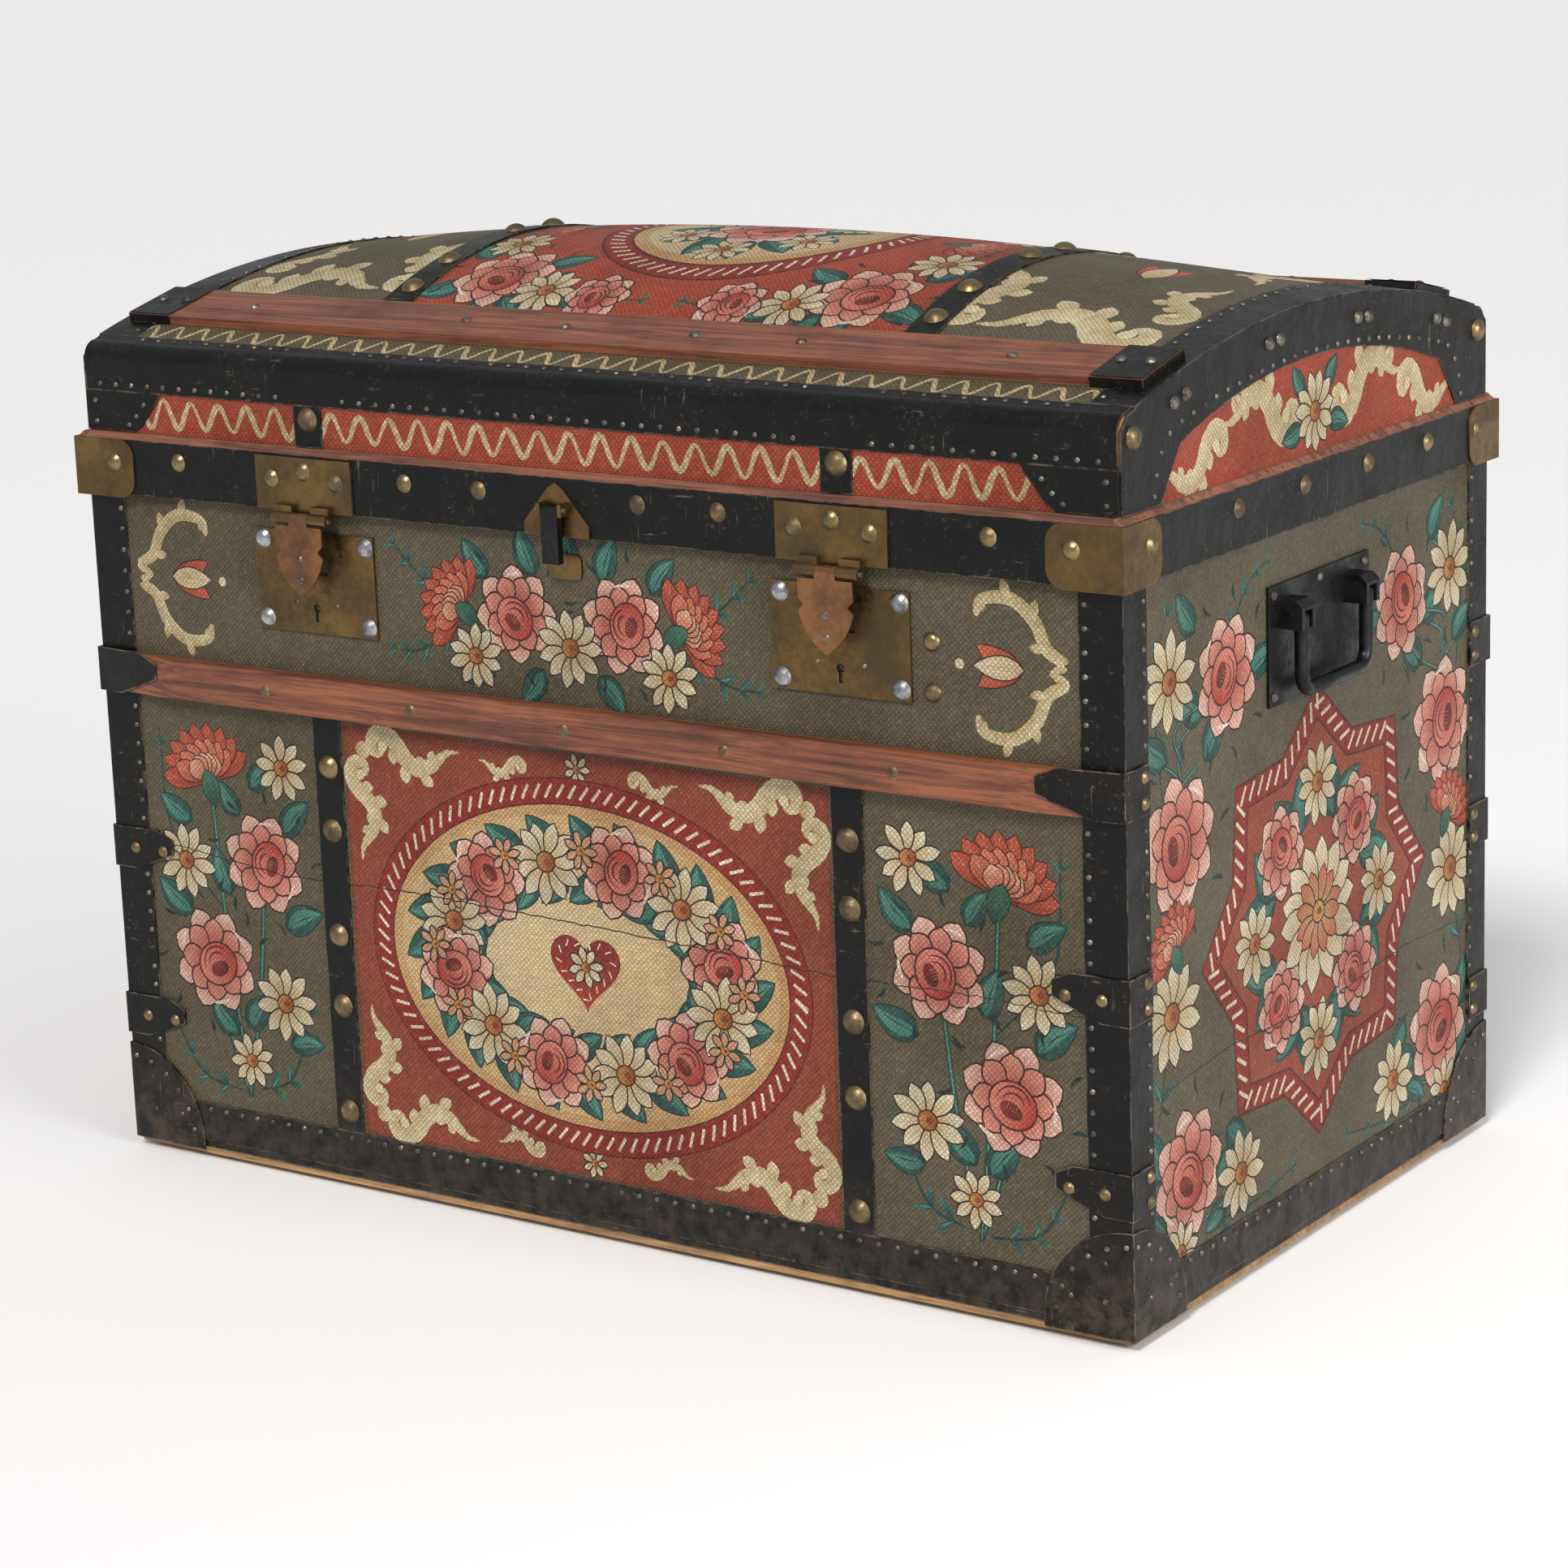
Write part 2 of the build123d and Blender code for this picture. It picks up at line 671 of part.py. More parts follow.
with BuildPart() as lid_dome_boards:
    loft([dome_section(x, edge_y, dome_low, -canvas) for x in (-lid_w, 0, lid_w)])
finish(lid_dome_boards.part, "lid_dome_boards")

with BuildPart() as lid_dome_canvas:
    loft([dome_section(x, edge_y, -canvas, 0) for x in (-lid_w, 0, lid_w)])
finish(lid_dome_canvas.part, "lid_dome_canvas")

# Canvas on the lid's walls
with BuildPart() as lid_wall_canvases:
    top = edge_top - edge_radius
    for s in (-1, 1):
        box_between(-lid_w, lid_w, s * lid_d, s * lid_canvas_d, rim_top + rim_slope, top)
finish(lid_wall_canvases.part, "lid_wall_canvases")

with BuildPart() as lid_end_canvases:
    for end_name in ("left", "right"):
        with BuildSketch(side(end_name, lid_w)):
            with BuildLine():
                dome_curve(lid_w, edge_y, dome_low)
                top = end_line(edge_y) + dome_low
                low = rim_top + rim_slope
                Polyline((edge_y, top), (edge_y, low), (-edge_y, low), (-edge_y, top))
            make_face()
        extrude(amount=canvas)
finish(lid_end_canvases.part, "lid_end_canvases")

# Wooden rim rails round the lid, with a sloping top
with BuildPart() as lid_rim:
    slope_top = rim_top + rim_slope
    for s in (-1, 1):
        with BuildSketch(Plane.YZ.offset(-lid_w)):
            with BuildLine():
                wall = s * lid_d
                face = s * rim_d
                Polyline((wall, lid_bottom), (face, lid_bottom), (face, rim_top), (wall, slope_top), close=True)
            make_face()
        extrude(amount=2 * lid_w)
        with BuildSketch(Plane.XZ.offset(-rim_d)):
            with BuildLine():
                wall = s * lid_w
                face = s * rim_w
                Polyline((wall, lid_bottom), (face, lid_bottom), (face, rim_top), (wall, slope_top), close=True)
            make_face()
        extrude(amount=2 * rim_d)
finish(lid_rim.part, "lid_rim_rails")

# Sheet-metal band on the rim
with BuildPart() as lid_band:
    for s in (-1, 1):
        box_between(-band_face_w, band_face_w, s * rim_d, s * band_face_d, lid_bottom, rim_top)
        box_between(s * rim_w, s * band_face_w, -rim_d, rim_d, lid_bottom, rim_top)
finish(lid_band.part, "lid_band")

# Brass plates folded round the lid's four lower corners
with BuildPart() as corner_plates:
    low = lid_bottom - corner_plate_drop
    for sx, sy in corner_signs:
        far_x = band_face_w + corner_plate_metal
        far_y = band_face_d + corner_plate_metal
        with BuildSketch(Plane.XY.offset(low)):
            patch(sx * far_x, sx * (far_x - corner_plate_reach), sy * band_face_d, sy * far_y)
            patch(sx * far_x, sx * band_face_w, sy * far_y, sy * (far_y - corner_plate_reach * 0.85))
        extrude(amount=rim_top - low)
    plate_edges = corner_plates.edges().filter_by(Axis.Y).filter_by_position(
        Axis.X, -(band_face_w - corner_plate_reach / 2), band_face_w - corner_plate_reach / 2,
    )
    fillet(plate_edges, corner_plate_round)
    end_edges = corner_plates.edges().filter_by(Axis.X).filter_by_position(
        Axis.Y, -(band_face_d - corner_plate_reach / 2), band_face_d - corner_plate_reach / 2,
    )
    fillet(end_edges, corner_plate_round)
finish(corner_plates.part, "lid_corner_plates")

# Lid slats on the shoulders of the dome
with BuildPart() as lid_slats:
    for s in (-1, 1):
        near = shoulder_offset
        far = shoulder_offset + lid_slat_width
        mid = (near + far) / 2
        with BuildSketch(Plane.YZ.offset(-lid_w + lid_slat_end_gap)):
            with BuildLine():
                low_near = end_line(near) + seat_gap
                low_mid = end_line(mid) + seat_gap
                low_far = end_line(far) + seat_gap
                ThreePointArc((s * near, low_near), (s * mid, low_mid), (s * far, low_far))
                Polyline(
                    (s * far, low_far), (s * (far + 1), low_far + lid_slat_thickness),
                    (s * (near + 2), low_near + lid_slat_thickness), (s * near, low_near),
                )
            make_face()
        extrude(amount=2 * (lid_w - lid_slat_end_gap))
finish(lid_slats.part, "lid_slats")

# Edge bindings bent over the long top edges
with BuildPart() as edge_bindings:
    for s in (-1, 1):
        corner = (edge_y, edge_top - edge_radius)
        near = edge_radius + canvas
        far = near + metal
        turn = math.sqrt(0.5)
        inside = edge_y - edge_flange_top
        low = edge_top - edge_flange_drop
        with BuildSketch(Plane.YZ.offset(-lid_w)):
            with BuildLine():
                Line((s * (edge_y + near), low), (s * (edge_y + near), corner[1]))
                ThreePointArc(
                    (s * (edge_y + near), corner[1]),
                    (s * (edge_y + near * turn), corner[1] + near * turn),
                    (s * edge_y, corner[1] + near),
                )
                Polyline(
                    (s * edge_y, corner[1] + near), (s * inside, end_line(inside) + seat_gap),
                    (s * inside, end_line(inside) + seat_gap + metal), (s * edge_y, corner[1] + far),
                )
                ThreePointArc(
                    (s * edge_y, corner[1] + far),
                    (s * (edge_y + far * turn), corner[1] + far * turn),
                    (s * (edge_y + far), corner[1]),
                )
                Polyline((s * (edge_y + far), corner[1]), (s * (edge_y + far), low), (s * (edge_y + near), low))
            make_face()
        extrude(amount=2 * lid_w)
finish(edge_bindings.part, "lid_edge_bindings")

# Arch bindings: a flange on the dome and a face on each end
with BuildPart() as arch_bindings:
    for end_name, sx in (("left", -1), ("right", 1)):
        with BuildSketch(side(end_name, lid_canvas_w)):
            with BuildLine():
                dome_curve(lid_canvas_w, lid_canvas_d - edge_radius, 0)
                reach = lid_canvas_d - edge_radius
                low = rim_top + rim_slope
                Polyline((reach, end_line(reach)), (lid_canvas_d, end_line(reach) - edge_radius))
                Polyline((lid_canvas_d, end_line(reach) - edge_radius), (lid_canvas_d, low))
                Polyline((lid_canvas_d, low), (-lid_canvas_d, low))
                Polyline((-lid_canvas_d, low), (-lid_canvas_d, end_line(reach) - edge_radius))
                Polyline((-lid_canvas_d, end_line(reach) - edge_radius), (-reach, end_line(reach)))
            make_face()
            with BuildLine():
                window = lid_canvas_d - lid_corner_width
                knee_z = end_line(window) - arch_face - 3
                ThreePointArc((arch_window_cut - window, knee_z), (0, end_line(0) - arch_face), (window - arch_window_cut, knee_z))
                cut = window - arch_window_cut
                Polyline((cut, knee_z), (window, low - 1), (-window, low - 1), (-cut, knee_z))
            make_face(mode=Mode.SUBTRACT)
        extrude(amount=metal)
        near = lid_w - arch_flange
        far = lid_canvas_w + metal
        dome_strip(sx * near, sx * far, edge_y - edge_flange_top, seat_gap, seat_gap + metal)
        for s in (-1, 1):
            slat_near = s * (shoulder_offset - seat_gap)
            slat_far = s * (shoulder_offset + lid_slat_width + 1 + seat_gap)
            box_between(
                sx * (near - 1), sx * (lid_w - lid_slat_end_gap + seat_gap), slat_near, slat_far,
                spring_height + canvas, spring_height + 2 * end_rise, Mode.SUBTRACT,
            )
finish(arch_bindings.part, "lid_arch_bindings")

# Lid straps across the dome between the slats, and down the front and back walls
with BuildPart() as lid_straps:
    for s in (-1, 1):
        near = s * (strap_offset - strap_width / 2)
        far = s * (strap_offset + strap_width / 2)
        for x in (near, far):
            with BuildSketch(Plane.YZ.offset(x)):
                with BuildLine():
                    knee = end_line(shoulder_offset) + seat_gap
                    top = dome_height(x, 0) + seat_gap
                    up = lid_strap_metal
                    ThreePointArc((-shoulder_offset, knee + up), (0, top + up), (shoulder_offset, knee + up))
                    Line((shoulder_offset, knee + up), (shoulder_offset, knee))
                    ThreePointArc((shoulder_offset, knee), (0, top), (-shoulder_offset, knee))
                    Line((-shoulder_offset, knee), (-shoulder_offset, knee + up))
                make_face()
        loft(ruled=True)
    for name in ("front", "back"):
        with BuildSketch(side(name, lid_canvas_d)):
            for s in (-1, 1):
                middle = s * strap_offset
                top = edge_top - edge_flange_drop
                patch(middle - strap_width / 2, middle + strap_width / 2, rim_top + rim_slope, top)
        extrude(amount=metal)
finish(lid_straps.part, "lid_straps")

# Nails of the lid
with BuildPart() as band_nails:
    middle = parting_height + rim_height * band_nail_rise_share
    for name in ("front", "back"):
        for share in band_nail_shares:
            nail_head(side(name, band_face_d), share * band_face_w, middle, band_nail)
        for s in (-1, 1):
            reach = s * (band_face_w - corner_plate_reach * 0.65)
            nail_head(side(name, band_face_d + corner_plate_metal), reach, middle - 3, band_nail)
    for name in ("left", "right"):
        for share in band_end_nail_shares:
            nail_head(side(name, band_face_w), share * band_face_d, middle, band_nail)
        for s in (-1, 1):
            reach = s * (band_face_d - corner_plate_reach * 0.6)
            nail_head(side(name, band_face_w + corner_plate_metal), reach, middle - 3, band_nail)
finish(band_nails.part, "band_nails")

with BuildPart() as lid_strap_nails:
    for s in (-1, 1):
        x = s * strap_offset
        for share in dome_nail_shares:
            y = share * shoulder_offset
            lift = seat_gap + lid_strap_metal
            rise = top_rise(x)
            radius = (shoulder_offset ** 2 + rise ** 2) / (2 * rise)
            along = -2 * crown * x / lid_canvas_w ** 2 * (1 - (y / shoulder_offset) ** 2)
            across = -y / math.sqrt(radius ** 2 - y ** 2)
            seat = Plane(
                origin=(x, y, dome_height(x, y) + lift),
                x_dir=(1, 0, along), z_dir=(-along, -across, 1),
            )
            nail_head(seat, 0, 0, strap_nail)
        for name in ("front", "back"):
            nail_head(side(name, lid_canvas_d + metal), x, rim_top + wall_nail_rise, strap_nail)
finish(lid_strap_nails.part, "lid_strap_nails")


def knuckles(axis_point, half_length, barrel, pin, gap, count, own, root):
    """Barrel segments along X on one leaf of a hinge, with the pin's bore through them."""
    x, y, z = axis_point
    pitch = 2 * half_length / count
    for i in range(count):
        if i % 2 != own:
            continue
        start = x - half_length + i * pitch + gap / 2
        with BuildSketch(Plane.YZ.offset(start)) as ring:
            with Locations((y, z)):
                Circle(barrel)
            patch(root[0], root[1], root[2], root[3])
            with Locations((y, z)):
                Circle(pin, mode=Mode.SUBTRACT)
        extrude(ring.sketch, amount=pitch - gap)


# Hasps: plate on the band, tongue below it, and the pin between them
pin_bore = hasp_pin_radius + hasp_pin_gap
with BuildPart() as hasp_plates:
    for sx in (-1, 1):
        middle = sx * strap_offset
        with BuildSketch(side("front", band_face_d)):
            patch(
                middle - hasp_plate_width / 2, middle + hasp_plate_width / 2,
                lid_bottom, lid_bottom + hasp_plate_height,
            )
        extrude(amount=hasp_metal)
        root = (-hasp_y, -band_face_d, hasp_z, lid_bottom + hasp_barrel_radius)
        knuckles(
            (middle, -hasp_y, hasp_z), hasp_knuckle_width / 2, hasp_barrel_radius,
            pin_bore, knuckle_gap, 3, 0, root,
        )
finish(hasp_plates.part, "hasp_plates")

for end_name, sx in (("left", -1), ("right", 1)):
    middle = sx * strap_offset
    with BuildPart() as hasp_tongue:
        drop = hasp_z - hasp_length
        half = hasp_width / 2
        face = hasp_y + hasp_barrel_radius - hasp_metal
        top = hasp_z - hasp_barrel_radius - knuckle_gap
        with BuildSketch(side("front", face)):
            with BuildLine():
                neck = top - 0.24 * hasp_length
                waist = top - 0.32 * hasp_length
                hip = top - 0.40 * hasp_length
                knee = drop + 0.20 * hasp_length
                narrow = half - hasp_notch
                Polyline(
                    (middle - half, top), (middle - half, neck), (middle - narrow, waist), (middle - half, hip),
                )
                ThreePointArc((middle - half, hip), (middle - half * 0.62, knee), (middle, drop))
                ThreePointArc((middle, drop), (middle + half * 0.62, knee), (middle + half, hip))
                Polyline(
                    (middle + half, hip), (middle + narrow, waist), (middle + half, neck),
                    (middle + half, top), (middle - half, top),
                )
            make_face()
        extrude(amount=hasp_metal)
        root = (-face - hasp_metal, -face, top - 1, hasp_z)
        knuckles(
            (middle, -hasp_y, hasp_z), hasp_knuckle_width / 2, hasp_barrel_radius,
            pin_bore, knuckle_gap, 3, 1, root,
        )
        with BuildSketch(side("front", face)):
            with Locations((middle, slot_middle)):
                Rectangle(staple_width, staple_height)
        extrude(amount=-staple_reach)
    finish(hasp_tongue.part, end_name + "_hasp_tongue")

with BuildPart() as hasp_pins:
    for s in (-1, 1):
        with BuildSketch(Plane.YZ.offset(s * strap_offset - hasp_knuckle_width / 2 - 1)):
            with Locations((-hasp_y, hasp_z)):
                Circle(hasp_pin_radius)
        extrude(amount=hasp_knuckle_width + 2)
finish(hasp_pins.part, "hasp_pins")

hasp_nail_points = (
    (-hasp_nail_spread, hasp_nail_rise), (0, hasp_top_nail_rise), (hasp_nail_spread, hasp_nail_rise),
)
with BuildPart() as hasp_nails:
    for s in (-1, 1):
        for u, v in hasp_nail_points:
            nail_head(side("front", band_face_d + hasp_metal), s * strap_offset + u, lid_bottom + v, band_nail)
finish(hasp_nails.part, "hasp_nails")

# Centre catch: plate on the band, and a hook that swings on its pin
catch_face = band_face_d + hasp_metal
catch_y = catch_face + catch_hook_metal
with BuildPart() as catch_plate:
    half = catch_plate_width / 2
    low = lid_bottom
    with BuildSketch(side("front", band_face_d)):
        with BuildLine():
            Polyline(
                (-half, low), (-half, low + 8), (-6, low + catch_plate_height - 4), (0, low + catch_plate_height),
                (6, low + catch_plate_height - 4), (half, low + 8), (half, low), close=True,
            )
        make_face()
    extrude(amount=hasp_metal)
    for s in (-1, 1):
        near = catch_hook_width / 2 + knuckle_gap
        with BuildSketch(Plane.YZ.offset(s * near if s > 0 else -near - 3)):
            patch(-catch_y - catch_hook_metal / 2, -catch_face, catch_pin_height - 4, catch_pin_height + 4)
            with Locations((-catch_y, catch_pin_height)):
                Circle(hasp_pin_radius + hasp_pin_gap, mode=Mode.SUBTRACT)
        extrude(amount=3)
finish(catch_plate.part, "catch_plate")

with BuildPart() as catch_hook:
    with BuildSketch(Plane.YZ.offset(-catch_hook_width / 2)):
        front_y = -catch_y - catch_hook_metal / 2
        back_y = -catch_y + catch_hook_metal / 2
        patch(front_y, back_y, catch_pin_height - catch_hook_length, catch_pin_height)
        with Locations((-catch_y, catch_pin_height)):
            Circle(catch_hook_metal / 2)
            Circle(hasp_pin_radius + hasp_pin_gap, mode=Mode.SUBTRACT)
    extrude(amount=catch_hook_width)
finish(catch_hook.part, "catch_hook")

with BuildPart() as catch_pin:
    reach = catch_hook_width / 2 + knuckle_gap + 4
    with BuildSketch(Plane.YZ.offset(-reach)):
        with Locations((-catch_y, catch_pin_height)):
            Circle(hasp_pin_radius)
    extrude(amount=2 * reach)
finish(catch_pin.part, "catch_pin")

# Hinges at the back: leaves on the lid's band and on the body, and their pins
pin_bore = hinge_pin_radius + hinge_pin_gap
with BuildPart() as lid_leaves:
    for s in (-1, 1):
        middle = s * hinge_offset
        with BuildSketch(side("back", band_face_d)):
            low = parting_height + hinge_barrel_radius
            patch(middle - hinge_width / 2, middle + hinge_width / 2, low, low + hinge_leaf_height - hinge_barrel_radius)
        extrude(amount=hinge_leaf_metal)
        root = (band_face_d, hinge_y, parting_height + hinge_pin_radius, parting_height + hinge_barrel_radius)
        knuckles(
            (middle, hinge_y, parting_height), hinge_width / 2, hinge_barrel_radius,
            pin_bore, knuckle_gap, hinge_knuckles, 0, root,
        )
finish(lid_leaves.part, "hinge_lid_leaves")

with BuildPart() as body_leaves:
    top = parting_height - hinge_barrel_radius - 8
    bend = 3.0
    for s in (-1, 1):
        middle = s * hinge_offset
        with BuildSketch(side("back", canvas_d)):
            patch(middle - hinge_width / 2, middle + hinge_width / 2, top - hinge_leaf_height, top)
        extrude(amount=hinge_leaf_metal)
        box_between(
            middle - hinge_width / 2, middle + hinge_width / 2,
            canvas_d, hinge_y + hinge_barrel_radius, top, top + bend,
        )
        root = (hinge_y + hinge_pin_radius + 0.5, hinge_y + hinge_barrel_radius, top, parting_height)
        knuckles(
            (middle, hinge_y, parting_height), hinge_width / 2, hinge_barrel_radius,
            pin_bore, knuckle_gap, hinge_knuckles, 1, root,
        )
finish(body_leaves.part, "hinge_body_leaves")

with BuildPart() as hinge_pins:
    for s in (-1, 1):
        with BuildSketch(Plane.YZ.offset(s * hinge_offset - hinge_width / 2 - 1)):
            with Locations((hinge_y, parting_height)):
                Circle(hinge_pin_radius)
        extrude(amount=hinge_width + 2)
finish(hinge_pins.part, "hinge_pins")
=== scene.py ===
# %% [markdown]
# # A painted wedding chest
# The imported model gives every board, strap and nail in its place. This lesson adds what the eye sees:
# painted canvas, worn black lacquer, varnished wood and old brass.

# %% Load the frame
import cmath
import math
import random
import bmesh
import bpy
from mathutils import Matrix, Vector
from mathutils.bvhtree import BVHTree
from mathutils.geometry import delaunay_2d_cdt


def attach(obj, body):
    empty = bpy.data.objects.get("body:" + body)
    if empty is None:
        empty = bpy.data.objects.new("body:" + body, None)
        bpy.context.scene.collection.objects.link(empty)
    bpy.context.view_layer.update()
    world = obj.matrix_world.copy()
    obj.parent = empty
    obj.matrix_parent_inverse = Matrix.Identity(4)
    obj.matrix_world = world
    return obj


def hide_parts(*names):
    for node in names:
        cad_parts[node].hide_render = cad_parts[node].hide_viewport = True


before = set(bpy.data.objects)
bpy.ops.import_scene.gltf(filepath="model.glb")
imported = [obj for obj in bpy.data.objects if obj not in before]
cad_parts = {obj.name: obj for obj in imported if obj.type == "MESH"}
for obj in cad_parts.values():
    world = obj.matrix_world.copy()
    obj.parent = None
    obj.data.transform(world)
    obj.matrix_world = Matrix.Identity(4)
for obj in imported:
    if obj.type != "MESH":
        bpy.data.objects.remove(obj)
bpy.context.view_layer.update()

MM = 0.001

# %% [markdown]
# ## Colours and shader nodes
# A finish is a small tree of nodes. Each node could be set up line by line, but one short function that
# adds a node with its settings and links keeps every finish readable. Colours are written as sRGB hex,
# and one function turns them into the linear values a shader works with.


# %% Colour and node helpers
def colour(text):
    """sRGB hex as linear RGBA."""
    values = [int(text[i:i + 2], 16) / 255 for i in (1, 3, 5)]
    linear = [v / 12.92 if v <= 0.04045 else ((v + 0.055) / 1.055) ** 2.4 for v in values]
    return (*linear, 1.0)


def add(tree, kind, links=None, **settings):
    """A shader node with its settings and the sockets that feed it."""
    made = tree.nodes.new("ShaderNode" + kind)
    values = {}
    for key, value in settings.items():
        if hasattr(made, key):
            setattr(made, key, value)
        else:
            values[key.replace("_", " ")] = value
    for key, value in values.items():
        made.inputs[key].default_value = value
    for key, socket in (links or {}).items():
        tree.links.new(socket, made.inputs[key])
    return made


def feed(tree, socket, value):
    """Links a socket, or sets it when the value is plain."""
    if isinstance(value, bpy.types.NodeSocket):
        tree.links.new(value, socket)
    else:
        socket.default_value = value


def mix(tree, factor, low, high, how="MIX"):
    made = add(tree, "Mix", data_type="RGBA", blend_type=how)
    feed(tree, made.inputs[0], factor)
    feed(tree, made.inputs[6], low)
    feed(tree, made.inputs[7], high)
    return made.outputs[2]


def sums(tree, how, first, second=0.0, clamp=False):
    made = add(tree, "Math", operation=how, use_clamp=clamp)
    feed(tree, made.inputs[0], first)
    feed(tree, made.inputs[1], second)
    return made.outputs[0]


def between(tree, value, low, high, start=0.0, end=1.0):
    """Stretches a value from low..high to start..end, smoothly."""
    made = add(tree, "MapRange", {"Value": value}, interpolation_type="SMOOTHSTEP")
    for name, number in (("From Min", low), ("From Max", high), ("To Min", start), ("To Max", end)):
        made.inputs[name].default_value = number
    return made.outputs[0]


def place(tree, scale=(1, 1, 1), turn=(0, 0, 0), source="Object"):
    """Object coordinates in metres, stretched and turned."""
    made = add(tree, "Mapping", {"Vector": add(tree, "TexCoord").outputs[source]})
    made.inputs["Scale"].default_value = scale
    made.inputs["Rotation"].default_value = turn
    return made.outputs[0]


def noise(tree, where, size_mm, detail=4.0, rough=0.6, warp=0.0):
    """Noise whose blotches are about size_mm across."""
    made = add(tree, "TexNoise", {"Vector": where})
    made.inputs["Scale"].default_value = 1000.0 / size_mm
    made.inputs["Detail"].default_value = detail
    made.inputs["Roughness"].default_value = rough
    made.inputs["Distortion"].default_value = warp
    return made.outputs[0]


def bump(tree, height, depth_mm, normal=None):
    made = add(tree, "Bump", {"Height": height})
    made.inputs["Distance"].default_value = depth_mm * MM
    if normal:
        tree.links.new(normal, made.inputs["Normal"])
    return made.outputs[0]


def edges(tree, width_mm, low=0.02, high=0.35):
    """1 along the sharp edges of a piece, 0 on its faces, where handling rubs it first."""
    soft = add(tree, "Bevel", samples=4)
    soft.inputs["Radius"].default_value = width_mm * MM
    flat = add(tree, "NewGeometry").outputs["Normal"]
    dot = add(tree, "VectorMath", {0: soft.outputs[0], 1: flat}, operation="DOT_PRODUCT")
    return between(tree, sums(tree, "SUBTRACT", 1.0, dot.outputs["Value"]), low, high)


def material(name, build):
    """A new material whose shader is filled in by build."""
    made = bpy.data.materials.new(name)
    made.use_nodes = True
    tree = made.node_tree
    shader = tree.nodes["Principled BSDF"]
    build(tree, shader)
    return made


def dress(shader, tree, **sockets):
    """Feeds the shader's inputs by name."""
    for key, value in sockets.items():
        feed(tree, shader.inputs[key.replace("_", " ")], value)


print("helpers ready")

# %% [markdown]
# ## Painted canvas
# The chest is covered in coarse canvas, painted in what looks like oils under a brown varnish. The
# colours could sit in an image, but here they ride on the mesh as an attribute, so that the edges of
# strokes stay sharp at any distance. The material adds the weave, the bristle marks, the varnish clouds
# and the worn flecks, with sizes in millimetres.


# %% Painted canvas: oil paint on coarse canvas under old brown varnish
def canvas_shader(tree, shader):
    paint = add(tree, "Attribute", attribute_name="paint").outputs["Color"]
    brush = add(tree, "UVMap", uv_map="brush").outputs[0]
    bristle = add(tree, "Mapping", {"Vector": brush})
    bristle.inputs["Scale"].default_value = (0.06, 1.6, 1.0)
    streak = add(tree, "TexNoise", {"Vector": bristle.outputs[0]})
    streak.inputs["Scale"].default_value = 1.0
    streak.inputs["Detail"].default_value = 3.0
    here = place(tree)
    cloud = noise(tree, here, 90, 5, 0.62)
    grain = noise(tree, here, 3.2, 3, 0.7)
    # The real threads are about 1.2 mm apart. They are drawn 2.6 mm apart, so that they show in the render.
    # They run diagonally, in the plane that each side faces.
    facing = add(tree, "SeparateXYZ", {0: add(tree, "TexCoord").outputs["Normal"]})
    weave = 0.0
    for axis, along, side in ((1, "X", 1), (0, "Y", 0), (2, "X", 2)):
        pair = []
        for lean in (0.7854, -0.7854):
            turn = [0.0, 0.0, 0.0]
            turn[axis] = lean
            lines = add(
                tree, "TexWave", {"Vector": place(tree, turn=tuple(turn))}, wave_type="BANDS",
                bands_direction=along
            )
            lines.inputs["Scale"].default_value = 120.0
            lines.inputs["Distortion"].default_value = 3.0
            lines.inputs["Detail"].default_value = 2.0
            lines.inputs["Detail Scale"].default_value = 3.0
            pair.append(lines.outputs["Fac"])
        here_only = between(tree, sums(tree, "ABSOLUTE", facing.outputs[side]), 0.5, 0.8)
        weave = sums(
            tree, "ADD", sums(tree, "MULTIPLY", sums(tree, "MULTIPLY", pair[0], pair[1]), here_only), weave
        )
    tone = mix(
        tree, between(tree, streak.outputs[0], 0.3, 0.7, 0.0, 0.30), paint, colour("#2b2018"), "MULTIPLY"
    )
    tone = mix(tree, between(tree, cloud, 0.35, 0.75, 0.0, 0.40), tone, colour("#8a7350"), "MULTIPLY")
    # The hollows between the threads are darkened in colour as well as lowered by the bump: this is painted
    # shade in the weave.
    tone = mix(tree, between(tree, weave, 0.10, 0.6, 0.46, 0.0), tone, colour("#241c14"), "MULTIPLY")
    tone = mix(tree, between(tree, grain, 0.45, 0.75, 0.0, 0.10), tone, colour("#a8997c"), "SCREEN")
    worn = noise(tree, here, 26, 8, 0.78, 0.4)
    fleck = noise(tree, here, 2.4, 6, 0.75)
    missing = sums(tree, "MULTIPLY", between(tree, worn, 0.55, 0.66), between(tree, fleck, 0.52, 0.60))
    tone = mix(tree, sums(tree, "MULTIPLY", missing, 0.45), tone, colour("#4b4130"))
    spots = between(tree, noise(tree, here, 2.2, 4, 0.8), 0.76, 0.79)
    tone = mix(tree, sums(tree, "MULTIPLY", spots, 0.5), tone, colour("#c9bb9a"))
    height = sums(
        tree, "ADD", sums(tree, "MULTIPLY", weave, 0.8), sums(tree, "MULTIPLY", streak.outputs[0], 0.5)
    )
    normal = bump(tree, height, 0.35, bump(tree, cloud, 1.2))
    gloss = between(tree, cloud, 0.3, 0.8, 0.52, 0.72)
    dress(shader, tree, Base_Color=tone, Roughness=gloss, Normal=normal)
    shader.inputs["Specular IOR Level"].default_value = 0.35


painted_canvas = material("painted_canvas", canvas_shader)


# %% [markdown]
# ## Black lacquer
# The straps and bindings are thin sheet steel, lacquered black and rubbed to brown metal where hands and
# floors touch them. A flat black would look like plastic, so clouds, chips, scratches and worn edges are
# mixed in. They are noises in real millimetres, because the same finish then fits every piece.

